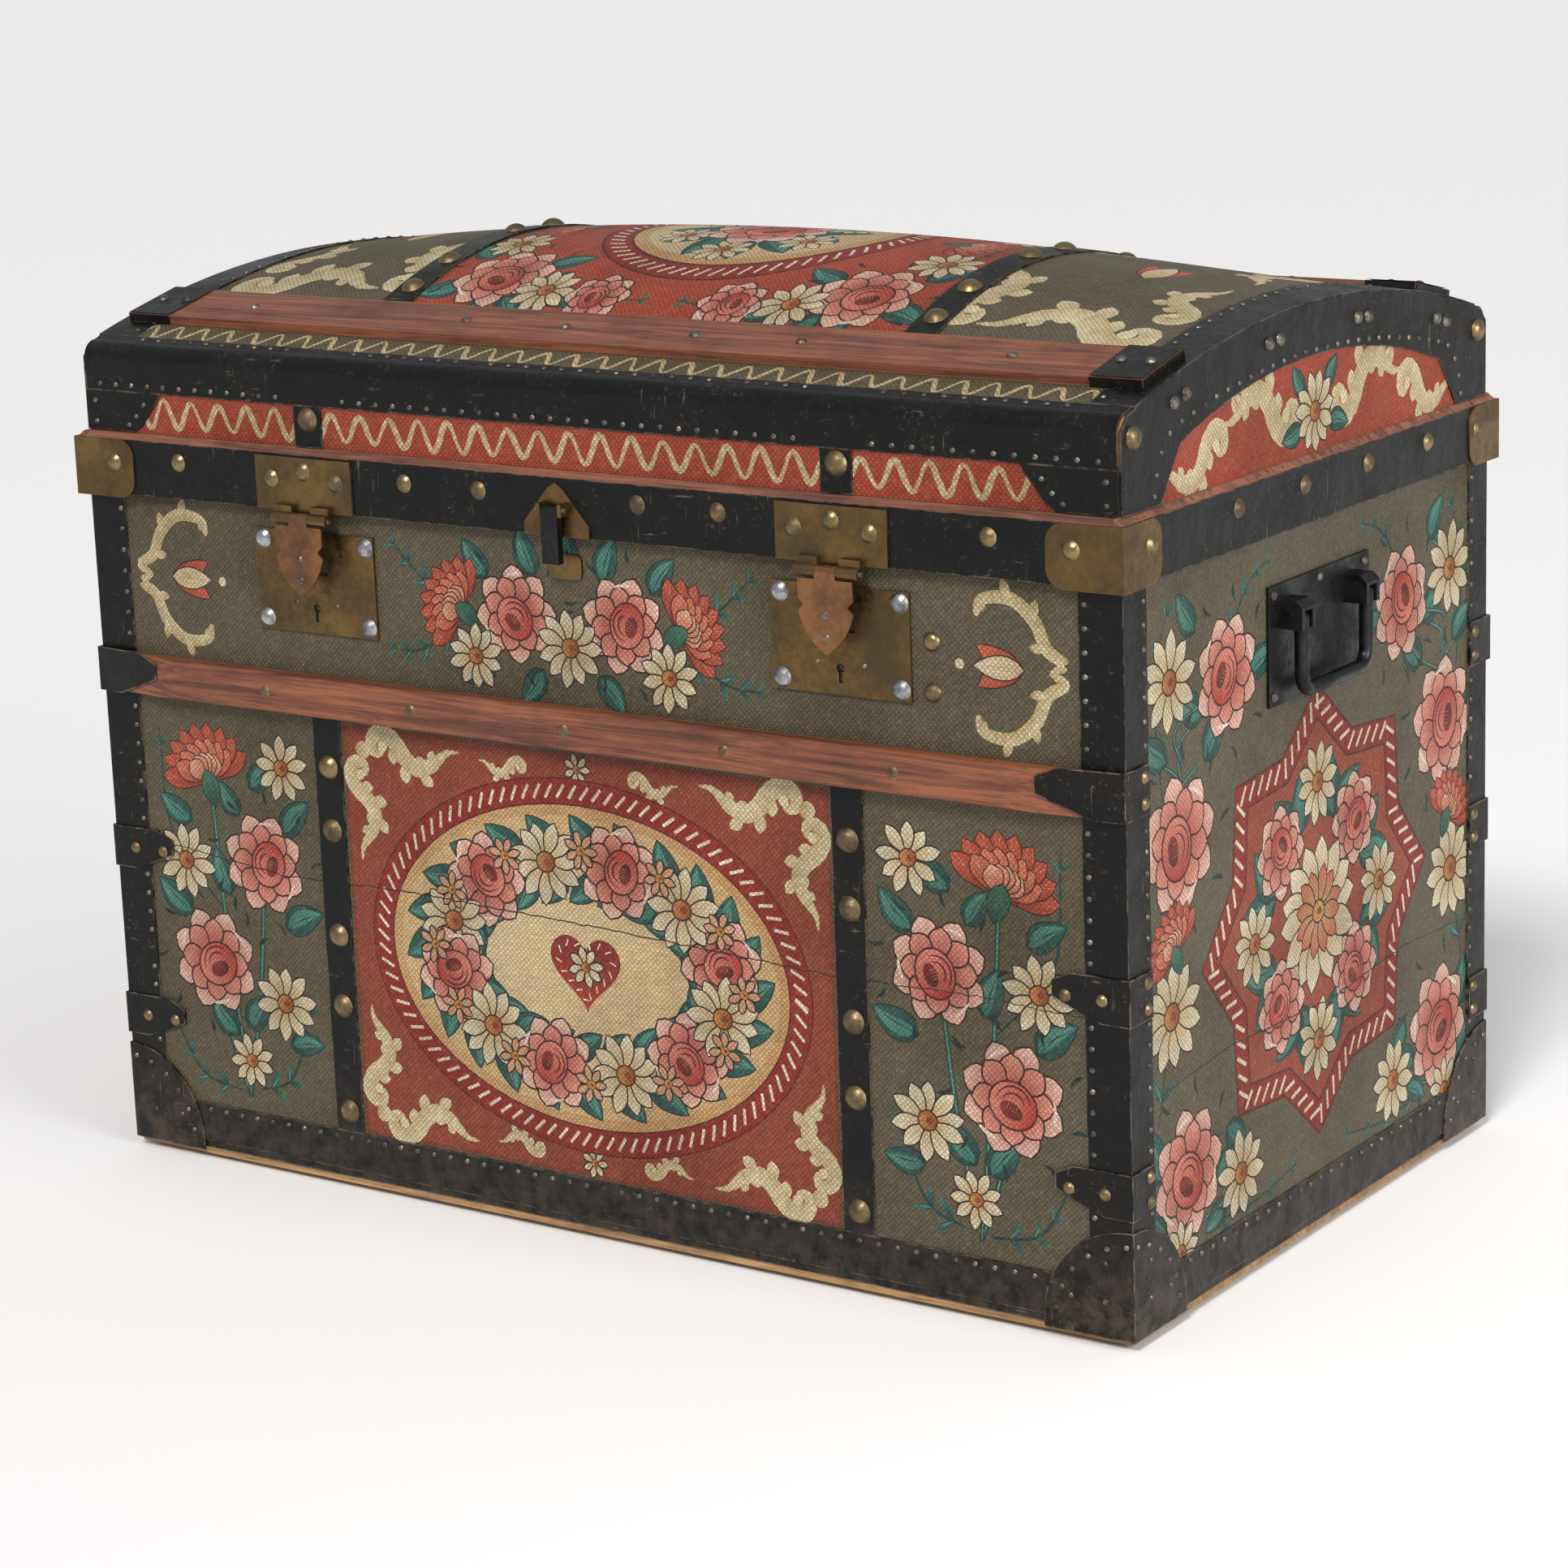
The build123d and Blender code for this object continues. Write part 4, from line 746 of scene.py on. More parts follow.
# %% Painted surface
def paint_field(name, outline, pic, where, ground, body, node, grid=0.0):
    """Makes the painted canvas: where turns a field point in mm into a point of the chest in mm."""
    tint = colour(ground)[:3]
    layers = [(outline, tint, tint)] + pic.strokes
    points = []
    faces = []
    for shape, _, _ in layers:
        faces.append(list(range(len(points), len(points) + len(shape))))
        points += [Vector((p.real, p.imag)) for p in shape]
    low = [min(p.real for p in outline), min(p.imag for p in outline)]
    high = [max(p.real for p in outline), max(p.imag for p in outline)]
    if grid:
        for i in range(1, int((high[0] - low[0]) / grid)):
            for k in range(1, int((high[1] - low[1]) / grid)):
                points.append(Vector((low[0] + grid * i, low[1] + grid * k)))
    cut, _, triangles, _, _, sources = delaunay_2d_cdt(points, [], faces, 1, 0.002, True)
    shell = bmesh.new()
    brush = shell.loops.layers.uv.new("brush")
    flat_uv = shell.loops.layers.uv.new("OFBake")
    tone = shell.loops.layers.float_color.new("paint")
    corners = [shell.verts.new(Vector(where(p.x, p.y)) * MM) for p in cut]
    ways = []
    for shape, _, _ in layers:
        far = max(shape, key=lambda p: abs(p - shape[0]))
        ways.append((shape[0], far - shape[0]))
    for triangle, source in zip(triangles, sources):
        if 0 not in source:
            continue
        middle = sum(complex(cut[i].x, cut[i].y) for i in triangle) / 3
        top = next((i for i in sorted(source, reverse=True) if i == 0 or holds(layers[i][0], middle)), 0)
        _, first, last = layers[top]
        origin, way = ways[top]
        length = max(abs(way), 1e-6)
        face = shell.faces.new([corners[i] for i in triangle])
        for loop, index in zip(face.loops, triangle):
            p = complex(cut[index].x, cut[index].y) - origin
            along = (p * way.conjugate()).real / length
            across = (p * way.conjugate()).imag / length
            t = min(max(along / length, 0.0), 1.0) if top else 0.0
            loop[tone] = (*[a + (b - a) * t for a, b in zip(first, last)], 1.0)
            loop[brush].uv = (along + 37.0 * top, across + 11.0 * top)
            loop[flat_uv].uv = (
                (cut[index].x - low[0]) / (high[0] - low[0]), (cut[index].y - low[1]) / (high[1] - low[1])
            )
    bmesh.ops.delete(shell, geom=[v for v in shell.verts if not v.link_faces], context="VERTS")
    mesh = bpy.data.meshes.new(name)
    shell.to_mesh(mesh)
    shell.free()
    piece = bpy.data.objects.new(name, mesh)
    bpy.context.scene.collection.objects.link(piece)
    mesh.materials.append(painted_canvas)
    mesh.uv_layers["OFBake"].active_render = True
    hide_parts(node)
    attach(piece, body)
    print(name, len(pic.strokes), "strokes", len(mesh.polygons), "faces")
    return piece


OLIVE = "#635b44"
RED = "#ad4429"
DEEP_RED = "#96251b"


# %% [markdown]
# ## The front
# The front has a red panel between two tall fields and a long field above the slat. Each is drawn by its
# own function in millimetres on the wall, so a flower's size can be checked against the fittings.

# %% Fields of the front
def flower_field(pic, x0, x1, z0, z1, seed):
    """A tall bouquet: roses and a carnation among daisies and leaves, on an olive ground."""
    wide = x1 - x0
    high = z1 - z0
    mid = (x0 + x1) / 2
    lean = 1 if seed % 2 else -1
    foot = complex(mid, z0 + 8)

    def at(share_x, share_z):
        return complex(mid + lean * share_x * wide, z0 + share_z * high)

    def turned(angle):
        return angle if lean > 0 else math.pi - angle
    for x, z in ((-0.16, 0.36), (0.17, 0.62), (-0.12, 0.84)):
        stem(pic, [foot, at(x * 0.6, z * 0.5), at(x, z)], 3.0)
    spray(pic, [at(0.06, 0.05), at(0.26, 0.10), at(0.40, 0.30)], 17)
    spray(pic, [at(-0.05, 0.04), at(-0.28, 0.07), at(-0.43, 0.20)], 15)
    spray(pic, [at(-0.10, 0.50), at(-0.36, 0.66), at(-0.40, 0.92)], 15)
    for x, z, turn, length in (
        (
            -0.34, 0.47, 2.5, 36
        ), (0.34, 0.47, 0.4, 36), (-0.05, 0.53, 1.9, 34), (0.02, 0.20, 0.9, 34), (-0.06, 0.18, 2.3, 34),
        (0.36, 0.70, 0.8, 34), (0.14, 0.80, 0.7, 32), (0.32, 0.18, 0.1, 30), (
            -0.30, 0.70, 2.6, 32
        ), (0.05, 0.73, 2.2, 28),
    ):
        leaf(pic, at(x * 0.8, z), turned(turn), length)
    commas(pic, at(-0.16, 0.36), 42, 9, 0.3)
    commas(pic, at(0.17, 0.62), 40, 9, 0.7)
    rose(pic, at(-0.16, 0.36), 36, 0.4 * lean)
    rose(pic, at(0.17, 0.62), 34, 1.2 * lean)
    carnation(pic, at(-0.12, 0.80), 1.57 + 0.3 * lean, 42)
    daisy(pic, at(0.24, 0.28), 23, 10, 0.2)
    daisy(pic, at(-0.29, 0.60), 22, 10, 0.5)
    daisy(pic, at(0.30, 0.86), 20, 9, 0.9)
    daisy(pic, at(0.02, 0.12), 17, 9, 0.4)


# %% Centre panel of the front
def wreath(pic, centre, wide, high):
    """A ring of flowers and leaves with a heart inside it."""
    def on_ring(angle, grow=1.0):
        return centre + complex(wide * grow * math.cos(angle), high * grow * math.sin(angle))
    for k in range(24):
        angle = 2 * math.pi * (k + 0.5) / 24
        way = cmath.phase(on_ring(angle + 0.05) - on_ring(angle))
        leaf(pic, on_ring(angle, 1.10), way - 0.75, 34)
        leaf(pic, on_ring(angle, 0.90), way + 0.75, 30)
    for k in range(12):
        angle = 2 * math.pi * k / 12 + 0.26
        commas(pic, on_ring(angle, 1.30), 5, 3, angle)
        if k % 2:
            daisy(pic, on_ring(angle), 24, 11, angle)
        else:
            rose(pic, on_ring(angle), 31, angle)
    for k in range(12):
        daisy(pic, on_ring(2 * math.pi * k / 12, 1.12), 11, 7, 0.3 * k, "#e39a84", "#c98a35")
    heart = []
    for k in range(40):
        t = 2 * math.pi * k / 40
        x = 16 * math.sin(t) ** 3
        z = 13 * math.cos(t) - 5 * math.cos(2 * t) - 2 * math.cos(3 * t) - math.cos(4 * t)
        heart.append(complex(x, z) * 1.75)
    pic.fill(at_place(grown(heart, 2.0), centre), "#3a1512")
    pic.fill(at_place(heart, centre), "#8e2a20", "#c2432f")
    dashes(pic, at_place([p * 0.78 for p in heart], centre), 8, 5, 2.0)
    daisy(pic, centre + 1j, 12, 8, 0.2)


def centre_panel(pic, x0, x1, z0, z1):
    """The red panel with its scroll border and, in its oval, a wreath."""
    pic.fill(box(x0, x1, z0, z1), "#8a3a26", light=0)
    pic.fill(box(x0 + 2, x1 - 2, z0 + 2, z1 - 2), "#98432c", light=0)
    centre = complex((x0 + x1) / 2, (z0 + z1) / 2)
    wide = (x1 - x0) / 2
    high = (z1 - z0) / 2
    for sx in (-1, 1):
        for sz in (-1, 1):
            corner = centre + complex(sx * wide, sz * high)
            acanthus(
                pic, corner + complex(-sx * 30, -sz * 13), 0.0 if sx < 0 else math.pi, 52,
                -sz if sx < 0 else sz
            )
            acanthus(pic, corner + complex(-sx * 14, -sz * 30), -sz * math.pi / 2, 48, -sx * sz)
            pic.fill(at_place(oval(6, 6, 14), corner + complex(-sx * 16, -sz * 16)), "#eadcb4", "#c4a873")
            acanthus(
                pic, corner + complex(-sx * 146, -sz * 14), math.pi if sx < 0 else 0.0, 26,
                sz if sx < 0 else -sz
            )
    for sz in (-1, 1):
        top = centre + complex(0, sz * (high - 10))
        daisy(pic, top, 9, 7)
    oval_wide = wide - 25
    oval_high = high - 25
    ring = at_place(oval(oval_wide, oval_high, 72), centre)
    pic.fill(at_place(oval(oval_wide + 9, oval_high + 9, 72), centre), "#5e1712", light=0)
    pic.fill(at_place(oval(oval_wide + 8, oval_high + 8, 72), centre), "#96251b", light=0)
    dashes(pic, ring, 9.5, 11, 4.2)
    pic.fill(at_place(oval(oval_wide - 8, oval_high - 8, 72), centre), "#5e1712", light=0)
    pic.fill(at_place(oval(oval_wide - 9, oval_high - 9, 72), centre), "#cf9f6a", "#d2ab74", light=0)
    pic.fill(at_place(oval(oval_wide - 16, oval_high - 16, 60), centre), "#d8b27c", "#dcbc88", light=0)
    pic.fill(at_place(oval(oval_wide - 40, oval_high - 30, 48), centre), "#dfc391", "#e2ca9c", light=0)
    wreath(pic, centre, oval_wide * 0.66, oval_high * 0.60)


# %% Upper field of the front
def upper_field(pic, x0, x1, z0, z1):
    mid = (z0 + z1) / 2
    for sx in (-1, 1):
        edge = complex(x1 if sx > 0 else x0, mid)
        for sz in (-1, 1):
            flourish(
                pic, [
                    -20 + 0j, -10 + 6j, -22 + 14j, -30 + 30j, -46 + 42j, -66 + 40j, -70 + 30j
                ], 9, edge, sx, sz,
                ((0.35, 0.9, 12), (0.5, -0.8, 13), (0.68, -0.9, 13), (0.82, 0.8, 9)),
            )
        tulip(pic, edge - sx * 38, math.pi if sx > 0 else 0.0, 34)
        pic.fill(at_place(oval(3.2, 3.2, 12), edge - sx * 82), "#eadcb4")
    for sx in (-1, 1):
        spray(
            pic, [complex(sx * 84, mid - 4), complex(sx * 118, mid + 18), complex(sx * 142, mid + 40)], 15
        )
        spray(
            pic, [complex(sx * 84, mid - 10), complex(sx * 120, mid - 30), complex(sx * 146, mid - 32)], 16
        )
        for x, z, turn, length in (
            (26, 26, 1.2, 32), (22, -34, -0.9, 30), (62, -34, -0.4, 30), (64, 22, 0.9, 30),
            (4, 30, 1.7, 30)
        ):
            leaf(pic, complex(sx * x, mid + z), turn if sx > 0 else math.pi - turn, length)
        commas(pic, complex(sx * 44, mid), 38, 9)
        carnation(pic, complex(sx * 84, mid - 2), 1.57 - 1.05 * sx, 36)
        rose(pic, complex(sx * 42, mid), 31, 0.3 + sx)
        daisy(pic, complex(sx * 76, mid - 30), 19, 10, 0.3 * sx)
    daisy(pic, complex(0, mid - 18), 22, 11)


# %% [markdown]
# ## A crack in the paint
# Old paint cracks where the board behind it has shrunk. A thin dark ribbon drawn into the picture is
# enough, because the crack has no depth that shows from a step away.

# %% Crack and front canvas
def hairline(pic, points, width=0.9):
    """An old split in the canvas, with a jagged edge."""
    line = []
    for a, b in zip(points, points[1:]):
        steps = max(2, int(abs(b - a) / 4))
        line += [a + (b - a) * i / steps + 1j * pic.dice.uniform(-0.7, 0.7) for i in range(steps)]
    pic.fill(ribbon(line + [points[-1]], width, 0.4), "#2a2018", light=0)


front = Picture(3)
flower_field(front, -370, -217, 44, 328, 1)
flower_field(front, 217, 370, 44, 328, 2)
centre_panel(front, -191.5, 191.5, 43, 325)
upper_field(front, -370, 370, 358, 465)
hairline(front, [-370 + 226j, -250 + 214j, -150 + 217j, 40 + 212j, 190 + 206j, 290 + 208j, 370 + 205j])
paint_field(
    "front_painted_canvas", box(-398, 398, 14, 466), front, lambda u, v: (u, -239, v), OLIVE,
    "trunk", "front_canvas",
)


# %% [markdown]
# ## The two ends
# Each end carries a star with a dashed border among roses. The left end isn't in view and repeats the
# right one.

# %% Fields of the two ends
def star(centre, wide, high):
    """An eight-sided medallion with drawn-in sides."""
    points = []
    for i in range(16):
        reach = 1.0 if i % 2 == 0 else 0.80
        angle = math.pi / 2 + 2 * math.pi * i / 16
        points.append(centre + reach * complex(wide * math.cos(angle), high * math.sin(angle)))
    return points


def end_field(pic):
    centre = 0 + 214j
    for sx in (-1, 1):
        spray(pic, [complex(sx * 206, 130), complex(sx * 196, 180), complex(sx * 206, 250)], 22)
        spray(pic, [complex(sx * 196, 330), complex(sx * 204, 400), complex(sx * 186, 448)], 20)
        spray(pic, [complex(sx * 150, 52), complex(sx * 90, 48), complex(sx * 30, 56)], 17)
        spray(pic, [complex(sx * 120, 404), complex(sx * 90, 440), complex(sx * 60, 452)], 15)
        for x, z, turn, length in (
            (206, 96, 1.1, 44), (140, 74, 2.6, 38), (
                206, 286, 1.3, 42
            ), (150, 344, 2.4, 40), (150, 372, 0.5, 38),
            (92, 386, 2.9, 36), (
                126, 108, -2.4, 36
            ), (196, 352, 0.6, 36), (204, 60, 0.8, 34), (160, 424, 0.9, 34), (128, 62, -0.5, 30),
        ):
            stem(pic, [complex(sx * 172, z - 40), complex(sx * 176, z - 14), complex(sx * x, z)], 2.4)
            leaf(pic, complex(sx * x * 0.97, z), turn if sx > 0 else math.pi - turn, length)
        for x, z, size, turn in ((170, 92, 41, 0.6), (176, 300, 42, 1.4), (116, 390, 37, 2.0)):
            commas(pic, complex(sx * x, z), size + 7, 9, turn)
            rose(pic, complex(sx * x, z), size, turn * sx)
        daisy(pic, complex(sx * 188, 196), 30, 11, 0.3)
        daisy(pic, complex(sx * 104, 72), 25, 10, 0.5)
        daisy(pic, complex(sx * 186, 400), 27, 10, 0.8)
        carnation(pic, complex(sx * 182, 232), 1.57 - 0.5 * sx, 34)
        daisy(pic, complex(sx * 180, 44), 19, 9, 0.2)
    shape = star(centre, 150, 146)
    pic.fill(grown(shape, 2.0), "#5e1712", light=0)
    pic.fill(shape, "#96251b", light=0)
    dashes(pic, star(centre, 141, 137), 11, 13, 5.0)
    pic.fill(star(centre, 130, 126), "#5e1712", light=0)
    pic.fill(star(centre, 128, 124), "#a24a30", light=0)
    for k in range(8):
        angle = math.pi / 8 + k * math.pi / 4
        spot = centre + 60 * cmath.exp(1j * angle)
        leaf(pic, spot, angle + 0.5, 44)
        leaf(pic, spot, angle - 0.5, 44)
    for k in range(4):
        angle = math.pi / 4 + k * math.pi / 2
        rose(pic, centre + 70 * cmath.exp(1j * angle), 30, angle)
        daisy(pic, centre + 84 * cmath.exp(1j * (angle + math.pi / 4)), 23, 10, angle)
    daisy(pic, centre, 44, 14, 0.1, "#efe4c4", "#c98a35")
    daisy(pic, centre, 26, 12, 0.3, "#d9694f", "#e0ae58")


for name, sign in (("right", 1), ("left", -1)):
    end = Picture(7 if sign > 0 else 8)
    end_field(end)
    hairline(end, [-210 + 150j, -120 + 158j, 20 + 152j, 120 + 160j, 212 + 156j])
    paint_field(
        name + "_painted_canvas", box(
            -238, 238, 14, 466
        ), end, lambda u, v, s=sign: (s * 399, s * u, v), OLIVE,
        "trunk", "end_canvases",
    )

# %% [markdown]
# ## The back
# The back stands to the wall and can't be seen in the photograph, so it has only a few motifs.

# %% The back, which stands to the wall and is painted more simply
back = Picture(11)
for x in (-290, 290):
    flower_field(back, x - 76, x + 76, 60, 320, 1 if x < 0 else 2)
for sx in (-1, 1):
    scroll(back, complex(sx * 90, 190), 0 if sx > 0 else math.pi, 46, sx)
    scroll(back, complex(sx * 90, 110), 0 if sx > 0 else math.pi, 34, -sx)
rose(back, 0 + 190j, 40, 0.5)
paint_field(
    "back_painted_canvas", box(-398, 398, 14, 466), back, lambda u, v: (-u, 239, v), OLIVE,
    "trunk", "back_canvas",
)

# %% [markdown]
# ## The lid's pictures
# The real dome is canvas glued over bent boards. It could be painted on the curved mesh, but a picture
# drawn flat and then lifted to the dome's height keeps its strokes the same as on the body, so that way
# was chosen.

# %% Shape of the dome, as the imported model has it
SPRING = 562.0
ARCH_RISE = 37.0
CROWN_RISE = 28.0
LONG = 397.5 + 1.0
DEEP = 237.5 + 1.0
KNEE = 150.0


def arch(y, half, rise):
    radius = (half * half + rise * rise) / (2 * rise)
    return math.sqrt(max(radius * radius - y * y, 0)) - (radius - rise)


def dome(x, y):
    """Height of the dome's canvas at a point of the lid."""
    end = SPRING + arch(y, DEEP, ARCH_RISE)
    if abs(y) > KNEE:
        return end
    knee = SPRING + arch(KNEE, DEEP, ARCH_RISE)
    rise = ARCH_RISE - arch(KNEE, DEEP, ARCH_RISE) + CROWN_RISE * (1 - (x / LONG) ** 2)
    return knee + arch(y, KNEE, rise)


# %% Long walls of the lid
def wave(pic, x0, x1, middle, high, pitch, width, light="#eadcb4", shade="#c4a873"):
    """A bold hand-drawn wave along a strip."""
    steps = int((x1 - x0) / pitch * 12)
    line = []
    for i in range(steps + 1):
        x = x0 + (x1 - x0) * i / steps
        phase = 2 * math.pi * (x - x0) / pitch
        line.append(
            complex(
                x + pic.dice.uniform(-0.25, 0.25),
                middle + high * math.sin(phase) * (1 + 0.08 * math.sin(x * 0.05))
            )
        )
    for i in range(0, len(line) - 2, 2):
        swell = width * (0.85 + 0.25 * math.sin(i * 0.4))
        pic.fill(ribbon(line[i:i + 4], swell, 0.1), shade, light)


def wall_strip(pic, x0, x1, z0, z1):
    """A red band with a cream wave along it."""
    pic.fill(box(x0, x1, z0, z1), RED, light=0)
    mid = (z0 + z1) / 2
    wave(pic, x0 + 12, x1 - 12, mid, 9.0, 24.0, 4.2)


for name, sign in (("front", -1), ("back", 1)):
    strip = Picture(21)
    strip_low, strip_high = 507.5, 532.0
    wall_strip(strip, -372, 372, strip_low, strip_high + 2)
    paint_field(
        "lid_" + name + "_painted_canvas", box(
            -397.5, 397.5, 507, 544
        ), strip, lambda u, v, s=sign: (-s * u, s * 238.5, v), RED,
        "lid", "lid_wall_canvases",
    )


# %% Ends of the lid
def lid_end(pic):
    """Red ground with cream flourishes that meet at a flower."""
    pic.fill(box(-215, 215, 505, 575), RED, light=0)
    foot = 0 + 532j
    for sx in (-1, 1):
        go = 0.0 if sx > 0 else math.pi
        acanthus(pic, foot + complex(sx * 34, 4), go + sx * 0.12, 66, sx)
        acanthus(pic, foot + complex(sx * 122, -2), go - sx * 0.16, 56, -sx)
        acanthus(pic, foot + complex(sx * 100, 22), go + sx * 2.7, 34, -sx)
        leaf(pic, foot + complex(sx * 18, -8), -0.2 if sx > 0 else math.pi + 0.2, 26)
        leaf(pic, foot + complex(sx * 14, 12), 0.9 if sx > 0 else math.pi - 0.9, 24)
    daisy(pic, foot, 22, 11, 0.2)


def arch_outline(low, reach, count=24):
    """The lid end's outline: a flat foot and an arched top."""
    top = [complex(reach - 2 * reach * i / count, 0) for i in range(count + 1)]
    return [complex(-reach, low), complex(reach, low)] + [
        complex(p.real, dome(LONG, p.real) - 2.0) for p in top
    ]


for name, sign in (("right", 1), ("left", -1)):
    gable = Picture(31)
    lid_end(gable)
    paint_field(
        "lid_" + name + "_painted_canvas", arch_outline(507, 228), gable, lambda u, v, s=sign: (
            s * 398.5, s * u, v
        ), RED,
        "lid", "lid_end_canvases",
    )

# %% [markdown]
# ## The dome
# Cream scrolls fill the two side fields, and a red field with a rosette lies between the straps. It is
# one sheet, as the canvas is, and is cut finely enough to follow the curve.

# %% The dome
top = Picture(41)
for side in (-1, 1):
    wave(top, -392, 392, side * 210, 8.0, 22.0, 3.4)
for sx in (-1, 1):
    for sy in (-1, 1):
        corner = complex(sx * 368, sy * 148)
        flat = 0.0 if sx < 0 else math.pi
        acanthus(top, corner + complex(-sx * 26, -sy * 28), flat, 84, sx * sy)
        acanthus(top, corner + complex(-sx * 22, -sy * 60), -sy * math.pi / 2, 58, -sx * sy)
        acanthus(top, corner + complex(-sx * 144, -sy * 34), -sy * math.pi / 2 - sx * sy * 0.2, 70, sx * sy)
    tulip(top, complex(sx * 292, -22), 1.57, 42)
top.fill(box(-193, 193, -149, 149), "#8a3a26", light=0)
top.fill(box(-191, 191, -149, 149), RED, light=0)
for sx in (-1, 1):
    for sy in (-1, 1):
        spray(
            top, [complex(sx * 110, sy * 128), complex(sx * 60, sy * 132), complex(sx * 10, sy * 126)], 15
        )
        spray(top, [complex(sx * 160, sy * 76), complex(sx * 178, sy * 40), complex(sx * 180, sy * 4)], 15)
        for x, y, turn, length in (
            (168, 120, 0.4, 38), (98, 128, 2.8, 36), (176, 84, -0.9, 36), (120, 96, 3.6, 34),
            (146, 136, 1.7, 30), (128, 134, 2.2, 30)
        ):
            leaf(
                top, complex(sx * x * 0.97, sy * y * 0.97),
                cmath.phase(complex(sx * math.cos(turn), sy * math.sin(turn))), length
            )
        commas(top, complex(sx * 142, sy * 106), 42, 9)
        rose(top, complex(sx * 142, sy * 106), 36, 0.5 * sx)
        daisy(top, complex(sx * 96, sy * 122), 21, 10)
        daisy(top, complex(sx * 168, sy * 52), 21, 10)
        rose(top, complex(sx * 52, sy * 126), 24, 1.5 * sx)
    carnation(top, complex(sx * 146, 0), 0 if sx > 0 else math.pi, 34)
top.fill(oval(118, 104, 64), "#5e1712", light=0)
top.fill(oval(116, 102, 64), DEEP_RED, light=0)
dashes(top, oval(107, 93, 64), 10, 12, 4.6)
top.fill(oval(98, 84, 64), "#5e1712", light=0)
top.fill(oval(96, 82, 64), "#c99f6c", "#d2ab74", light=0)
top.fill(oval(86, 72, 56), "#d8b98a", "#ddc79a", light=0)
for k in range(12):
    leaf(top, 34 * cmath.exp(1j * k * math.pi / 6), k * math.pi / 6 + 0.3, 40)
for k in range(6):
    daisy(top, 56 * cmath.exp(1j * (k * math.pi / 3 + 0.5)), 18, 9)
rose(top, 0j, 42, 0.7)
paint_field(
    "dome_painted_canvas", box(-397.5, 397.5, -228, 228), top, lambda u, v: (u, v, dome(u, v)), OLIVE,
    "lid", "lid_dome_canvas", grid=12.0,
)


# %% [markdown]
# ## Tacks
# Small round heads hold the bindings, one every 13 to 14 millimetres. Bump in a material could suggest
# them, but they catch the light from every side, so each is a real flat dome cut from a small sphere.

# %% Rows of tacks
def tack_rows(name, rows, body, radius=1.9, height=1.0):
    """rows is a list of (point, outward) pairs in mm; each gets one flat domed head."""
    heads = bmesh.new()
    for point, outward in rows:
        turn = Vector(outward).to_track_quat("Z", "Y").to_matrix().to_4x4()
        turn.translation = Vector(point) * MM
        made = bmesh.ops.create_uvsphere(heads, u_segments=10, v_segments=6, radius=radius * MM)
        verts = made["verts"]
        bmesh.ops.delete(heads, geom=[v for v in verts if v.co.z < -0.0001 * radius], context="VERTS")
        verts = [v for v in verts if v.is_valid]
        for v in verts:
            v.co.z *= height / radius
            v.co = turn @ v.co
    mesh = bpy.data.meshes.new(name)
    heads.to_mesh(mesh)
    heads.free()
    for face in mesh.polygons:
        face.use_smooth = True
    piece = bpy.data.objects.new(name, mesh)
    bpy.context.scene.collection.objects.link(piece)
    mesh.materials.append(tack_iron)
    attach(piece, body)
    print(name, len(rows))
    return piece


def along(a, b, step):
    a = Vector(a)
    b = Vector(b)
    count = max(1, int((b - a).length / step))
    return [tuple(a + (b - a) * ((i + 0.5) / count)) for i in range(count)]


# %% [markdown]
# ## Seating small parts
# A tack sits flush on the steel it holds. Its place could be worked out from sizes, but the lid is
# curved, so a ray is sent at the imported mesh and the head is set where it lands.

# %% Seating
def surface(names):
    """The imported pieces' own faces, to seat small parts on."""
    verts, faces = [], []
    for name in names:
        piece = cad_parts[name]
        start = len(verts)
        verts += [piece.matrix_world @ v.co for v in piece.data.vertices]
        faces += [[start + i for i in face.vertices] for face in piece.data.polygons]
    return BVHTree.FromPolygons(verts, faces)


def seated(tree, starts, toward, least=0.8):
    """Where rays from starts (mm) meet the faces squarely enough, as (point, outward) pairs."""
    found = []
    way = Vector(toward).normalized()
    for start in starts:
        spot, normal, face, far = tree.ray_cast(Vector(start) * MM, way)
        if spot is not None and -normal.dot(way) > least:
            found.append((tuple(spot / MM), tuple(normal)))
    return found


# %% Tacks of the body
body_rows = []
for y, out in ((-240, (0, -1, 0)), (240, (0, 1, 0))):
    for x in (-374, 374):
        body_rows += [(p, out) for p in along((x, y, 75), (x, y, 325), 13)]
        body_rows += [(p, out) for p in along((x, y, 362), (x, y, 462), 13)]
    body_rows += [(p, out) for p in along((-338, y, 37), (338, y, 37), 14)]
for x, out in ((-400, (-1, 0, 0)), (400, (1, 0, 0))):
    for y in (-217, 217):
        body_rows += [(p, out) for p in along((x, y, 75), (x, y, 325), 13)]
        body_rows += [(p, out) for p in along((x, y, 362), (x, y, 462), 13)]
    body_rows += [(p, out) for p in along((x, -178, 37), (x, 178, 37), 14)]
tack_rows("body_tacks", body_rows, "trunk")

# %% [markdown]
# ## Tacks of the lid and corner caps
# The arches, edges and caps are nailed every 14 mm or so. Rows that would run under a strap leave a gap.

